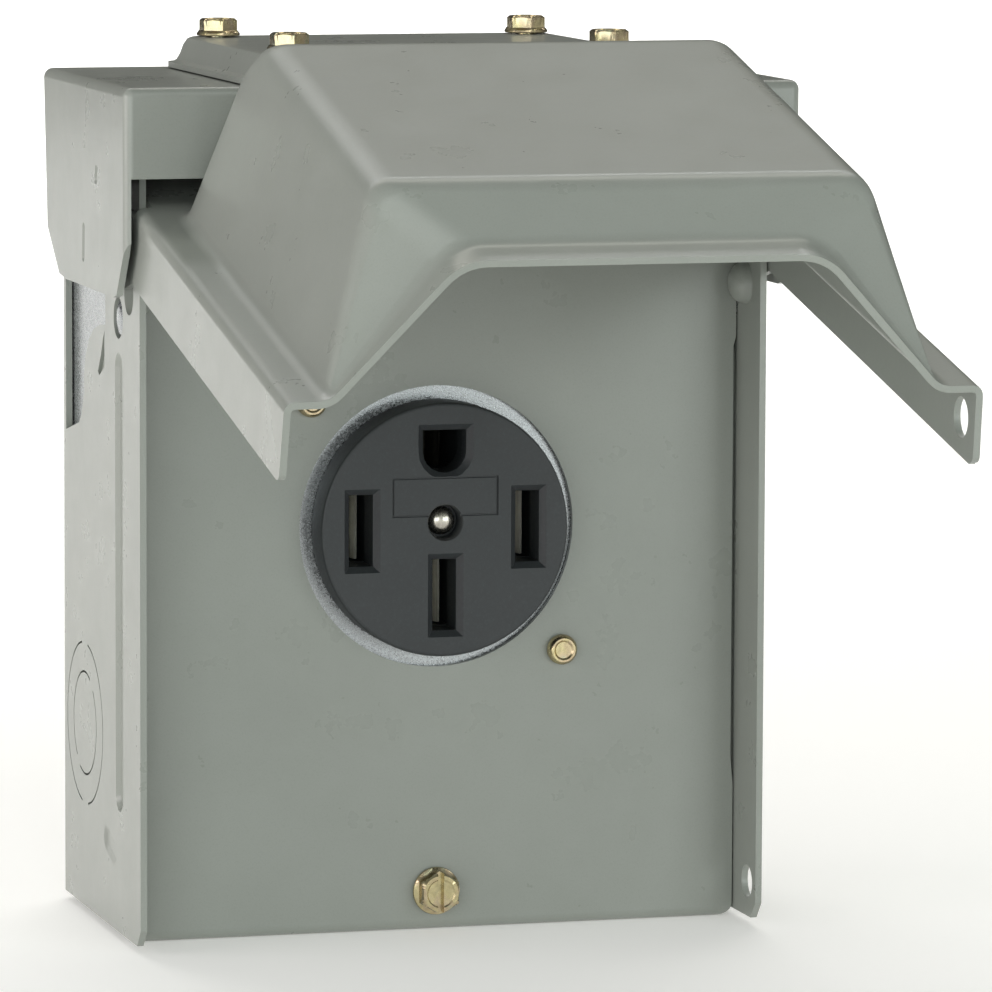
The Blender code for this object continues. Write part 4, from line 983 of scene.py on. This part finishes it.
def build_rear():
    prof = [(25.6, REAR_Y0), (26.4, REAR_Y0 + 0.8), (26.0, REAR_Y1 - 2.0), (24.4, REAR_Y1)]
    rings = [[(r * math.cos(a), y, RECEPT_Z + r * math.sin(a)) for a in np.linspace(0, 2 * math.pi, 48, endpoint=False)] for r, y in prof]
    o = loft("receptacle_rear_housing", rings, BLACK, False)
    for x, z, w, h, rb in SLOTS:
        boolean(o, box("cut", (x - w / 2 + 0.2, x + w / 2 - 0.2), (REAR_Y0 - 2, 40.0), (RECEPT_Z + z - h / 2 + 1.2, RECEPT_Z + z + h / 2 - 1.2)))
        boolean(o, box("cut", (x - 1.0, x + 1.0), (39, REAR_Y1 + 2), (RECEPT_Z + z - 4.4, RECEPT_Z + z + 4.4)))
    boolean(o, cyl("+Y", (0, REAR_Y0 - 2, RECEPT_Z + 1.6), 1.7, 14, 16))
    tidy(o)
    shade(o, 30)
    return o


def build_contact(name, x, z, h):
    """Folded spring clip open to the front, tail to the terminal."""
    Z = RECEPT_Z + z
    hh = h / 2 - 1.6
    g, t = 1.1, 0.9
    prof = [(-g - t, 21.0), (-g - t, 38.0), (-0.6, 39.4), (-0.6, 52.0), (0.6, 52.0), (0.6, 39.4), (g + t, 38.0), (g + t, 21.0),
            (g + 0.4, 20.6), (g - 0.1, 22.4), (g, 36.8), (-g, 36.8), (-g + 0.1, 22.4), (-g - 0.4, 20.6)]
    o = prism(name, [(x + p[0], p[1]) for p in prof], "Z", Z - hh, Z + hh, BRASS)
    boolean(o, box("cut", (x - 3, x + 3), (38.9, 54), (Z + 4.0, Z + 20)))
    boolean(o, box("cut", (x - 3, x + 3), (38.9, 54), (Z - 20, Z - 4.0)))
    tidy(o)
    shade(o, 30)
    return o


def build_lug(name, x, z):
    Z = RECEPT_Z + z
    pts = fillet([(x - 4.6, Z - 6.2), (x + 4.6, Z - 6.2), (x + 4.6, Z + 6.2), (x - 4.6, Z + 6.2)], 1.2, 3)
    o = prism(name, pts, "Y", 45.4, 57.0, ALU)
    boolean(o, box("cut", (x - 0.9, x + 0.9), (44, 52.4), (Z - 4.4, Z + 4.4)))
    # wire hole crosses the block behind the tail, clamp screw thread from the rear
    boolean(o, cyl("+Y", (x, 52.0, Z), 2.35, 8, 16))
    tidy(o)
    shade(o, 30)
    return o


def simple_screw(name, axis, c, head_r, head_h, shank_r, shank_l, material, dish=0.3, n=64):
    prof = [(shank_r * 0.7, -shank_l), (shank_r, -shank_l + 0.5), (shank_r, 0.0), (head_r, 0.0), (head_r, head_h * 0.45),
            (head_r - 0.25, head_h * 0.8), (head_r - 0.7, head_h), (head_r - 1.1, head_h), (max(head_r - 1.5, 0.3), head_h - dish)]
    return turned(name, prof, axis, c, n, material)


# ================================================================= finishing helpers
def finish_piece(o, nodes, body, bevel=0.0, angle=50, weighted=True):
    """Seat a new piece: move it to the row frame, round its cut edges, even out its normals, and let it ride."""
    off = Vector(ORIGIN) * MM
    for v in o.data.vertices:
        v.co -= off
    for p in o.data.polygons:
        p.use_smooth = True
    if bevel:
        m = o.modifiers.new("edge", "BEVEL")
        m.width = bevel * MM
        m.segments = 2
        m.limit_method = "ANGLE"
        m.angle_limit = math.radians(angle)
        m.use_clamp_overlap = True
        m.miter_outer = "MITER_ARC"
        m.harden_normals = False
    if weighted:
        w = o.modifiers.new("normals", "WEIGHTED_NORMAL")
        w.mode = "FACE_AREA"
        w.weight = 50
        w.keep_sharp = True
    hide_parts(*nodes)
    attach(o, body)
    return o


def rename(o, name):
    o.name = name
    o.data.name = name
    return o


# ---------------------------------------------------------------- painted sheet parts
body = rename(build_body(), "enclosure_shell")
finish_piece(body, ["enclosure_body"], "box", 0.22)
bottom = rename(build_bottom(), "bottom_plate_shell")
finish_piece(bottom, ["bottom_end_plate"], "box", 0.2)
panel = rename(build_panel(), "front_panel_shell")
finish_piece(panel, ["dead_front_panel"], "box", 0.22)
cap = rename(build_cap(), "rain_cap_shell")
finish_piece(cap, ["rain_cap"], "box", 0.22)
hub = rename(build_hub_plate(), "hub_plate_shell")
finish_piece(hub, ["hub_closing_plate"], "box", 0.2)
hood = rename(build_hood(), "hood_shell")
finish_piece(hood, ["hood"], "hood", 0.25)

# ---------------------------------------------------------------- screws
for nm, sx, sy in (("front_left", -1, -1), ("front_right", 1, -1), ("rear_left", -1, 1), ("rear_right", 1, 1)):
    o = hex_screw("hub_screw_%s_look" % nm, "+Z", (HUB_C[0] + sx * HUB_SCREW[0], HUB_C[1] + sy * HUB_SCREW[1], HUB_TOP_Z + 0.3),
                  7.4, 4.7, 0.9, 3.7, 1.75, 11.5, ZINC)
    finish_piece(o, ["hub_screw_" + nm], "box", 0.1)
o = hex_screw("cover_screw_look", "-Y", (0, PANEL_Y - 0.3, COVER_SCREW_Z), 8.0, 5.15, 0.9, 4.3, 1.9, 7.0, ZINC, slot=(1.3, 1.5))
finish_piece(o, ["cover_screw"], "box", 0.1)
for s, nm in ((-1, "upper_left"), (1, "lower_right")):
    o = simple_screw("strap_screw_%s_look" % nm, "-Y", (s * EAR[0], PANEL_Y - 0.3, RECEPT_Z - s * EAR[1]), 3.25, 2.1, 1.8, 6.5, ZINC, 0.35)
    finish_piece(o, ["strap_screw_" + nm], "box", 0.06)

# ---------------------------------------------------------------- receptacle
face = rename(build_face(), "receptacle_face_look")
finish_piece(face, ["receptacle_face"], "box", 0.12)
strap = rename(build_strap(), "mounting_strap_look")
finish_piece(strap, ["mounting_strap"], "box", 0.12)
o = turned("receptacle_centre_rivet", [(1.0, -16.0), (1.4, -15.5), (1.4, 0.0), (3.0, 0.0), (3.0, 0.4), (2.88, 0.9), (2.6, 1.4), (2.15, 1.86), (1.6, 2.16),
                                       (0.9, 2.36), (0.3, 2.43)], "-Y", (0, FACE_Y + 4.6 - 0.3, RECEPT_Z + 1.6), 64, STEEL)
finish_piece(o, ["receptacle_centre_screw"], "box", 0.05)

# ---------------------------------------------------------------- the CAD nodes that stay get their finish
KEEP = {"hinge_bracket_left": GALV, "hinge_bracket_right": GALV, "pivot_rivet_left": GALV, "pivot_rivet_right": GALV,
        "receptacle_rear_housing": BLACK, "enclosure_ground_lug": ALU, "ground_lug_screw": GREEN}
for n_ in ("hot_left", "hot_right", "neutral", "ground"):
    KEEP["contact_" + n_] = BRASS
    KEEP["terminal_lug_" + n_] = ALU
    KEEP["terminal_screw_" + n_] = STEEL
# the ground contact takes the darkened brass, painted shade for its deep slot
KEEP["contact_ground"] = BRASS_PAINTED_SHADE
for n_, m_ in KEEP.items():
    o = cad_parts[n_]
    o.data.materials.clear()
    o.data.materials.append(m_)
    for p in o.data.polygons:
        p.material_index = 0

# ================================================================= stage, light, camera
OFF = Vector(ORIGIN) * MM
floor_z = (PANEL_BOTTOM - 0.1) * MM - OFF.z
pts = [(-9.0, 0.0), (2.6, 0.0)]
for k in range(1, 17):
    a = math.pi / 2 * k / 16
    pts.append((2.6 + 0.7 * math.sin(a), 0.7 * (1 - math.cos(a))))
pts.append((3.3, 3.2))
n = Nodes("backdrop_paper")
n.set(color=n.ramp(n.noise(3, 3, 0.5), [(0.3, (0.87, 0.865, 0.85)), (0.7, (0.895, 0.89, 0.875))]), rough=0.9, metal=0.0)
n.b.inputs["Emission Color"].default_value = (1.0, 0.99, 0.965, 1)
n.b.inputs["Emission Strength"].default_value = 0.24


def paper(name, rows):
    vs, fs = [], []
    for y, z in rows:
        vs += [(-9.0, y, floor_z + z), (9.0, y, floor_z + z)]
    for i in range(len(rows) - 1):
        fs.append((2 * i, 2 * i + 1, 2 * i + 3, 2 * i + 2))
    me = bpy.data.meshes.new(name)
    me.from_pydata(vs, [], fs)
    for p in me.polygons:
        p.use_smooth = True
    me.materials.append(n.m)
    o = bpy.data.objects.new(name, me)
    bpy.context.scene.collection.objects.link(o)
    return o


paper("floor_paper", pts[:2])
backdrop = paper("backdrop_rise", pts[1:])
backdrop.visible_glossy = False


def area(name, loc, target, size, power, color=(1, 1, 1)):
    l = bpy.data.lights.new(name, "AREA")
    l.shape = "RECTANGLE"
    l.size, l.size_y = size
    l.energy = power
    l.color = color
    o = bpy.data.objects.new(name, l)
    bpy.context.scene.collection.objects.link(o)
    o.location = Vector(loc)
    d = Vector(target) - Vector(loc)
    o.rotation_mode = "QUATERNION"
    o.rotation_quaternion = d.to_track_quat("-Z", "Y")
    return o


T = (0.0, -0.06, 0.0)
area("key_left", (-1.15, -0.15, 0.18), T, (0.9, 0.42), 5.5, (1.0, 0.92, 0.93))
area("front_fill", (-0.75, -1.4, 0.18), T, (1.2, 0.5), 6.0, (0.93, 1.0, 0.985))
area("top_soft", (-0.1, -1.0, 0.9), T, (0.8, 0.4), 2.0, (0.95, 1.0, 0.96))
area("overhead_strip", (0.14, 0.46, 1.08), T, (1.2, 0.2), 2.5, (1.0, 0.96, 0.87))
area("front_right", (0.75, -1.35, 0.16), T, (0.8, 0.5), 4.6, (0.93, 1.0, 0.985))
area("rear_sheen", (0.34, 1.05, 0.72), T, (1.0, 0.5), 0.45, (1.0, 0.92, 0.78))
area("backdrop_wash", (0.3, 1.9, 1.9), (0.5, 2.9, 0.1), (3.0, 0.8), 55)

# soft room: brightest low in front and to the left, dim overhead and behind
w = bpy.data.worlds.new("studio")
bpy.context.scene.world = w
w.use_nodes = True
wt = w.node_tree
wb = wt.nodes["Background"]
tc = wt.nodes.new("ShaderNodeTexCoord")
dp = wt.nodes.new("ShaderNodeVectorMath")
dp.operation = "DOT_PRODUCT"
dp.inputs[1].default_value = (-0.22, -0.93, -0.28)
mr = wt.nodes.new("ShaderNodeMapRange")
mr.inputs["From Min"].default_value = -1.0
mr.inputs["From Max"].default_value = 1.0
mr.inputs["To Min"].default_value = 0.03
mr.inputs["To Max"].default_value = 0.62
wt.links.new(tc.outputs["Generated"], dp.inputs[0])
wt.links.new(dp.outputs["Value"], mr.inputs["Value"])
wt.links.new(mr.outputs["Result"], wb.inputs["Strength"])
wb.inputs["Color"].default_value = (0.97, 1.0, 0.98, 1)
bpy.context.scene.view_settings.view_transform = "Standard"
bpy.context.scene.view_settings.look = "None"

# camera: solved view, 15.7 degrees to the left and 6.4 degrees above
cam = bpy.data.cameras.new("view")
co = bpy.data.objects.new("view", cam)
bpy.context.scene.collection.objects.link(co)
R = Vector((0.96276, -0.27034, 0.00368))
U = Vector((0.02656, 0.10811, 0.99378))
F = Vector((0.26906, 0.95668, -0.11126))
C = Vector((-382.0, -1373.3, 261.0)) * MM - OFF
M = Matrix(((R.x, U.x, -F.x), (R.y, U.y, -F.y), (R.z, U.z, -F.z)))
q = M.to_quaternion()
co.rotation_mode = "QUATERNION"
co.rotation_quaternion = q
co.location = C
cam.sensor_width = 36.0
cam.sensor_fit = "HORIZONTAL"
cam.lens = 36.0 * 6845.37 / 992
cam.shift_x = (496 - 475.98) / 992
cam.shift_y = (457.17 - 496) / 992
cam.clip_start = 0.05
cam.clip_end = 50
bpy.context.scene.camera = co

bpy.context.view_layer.update()
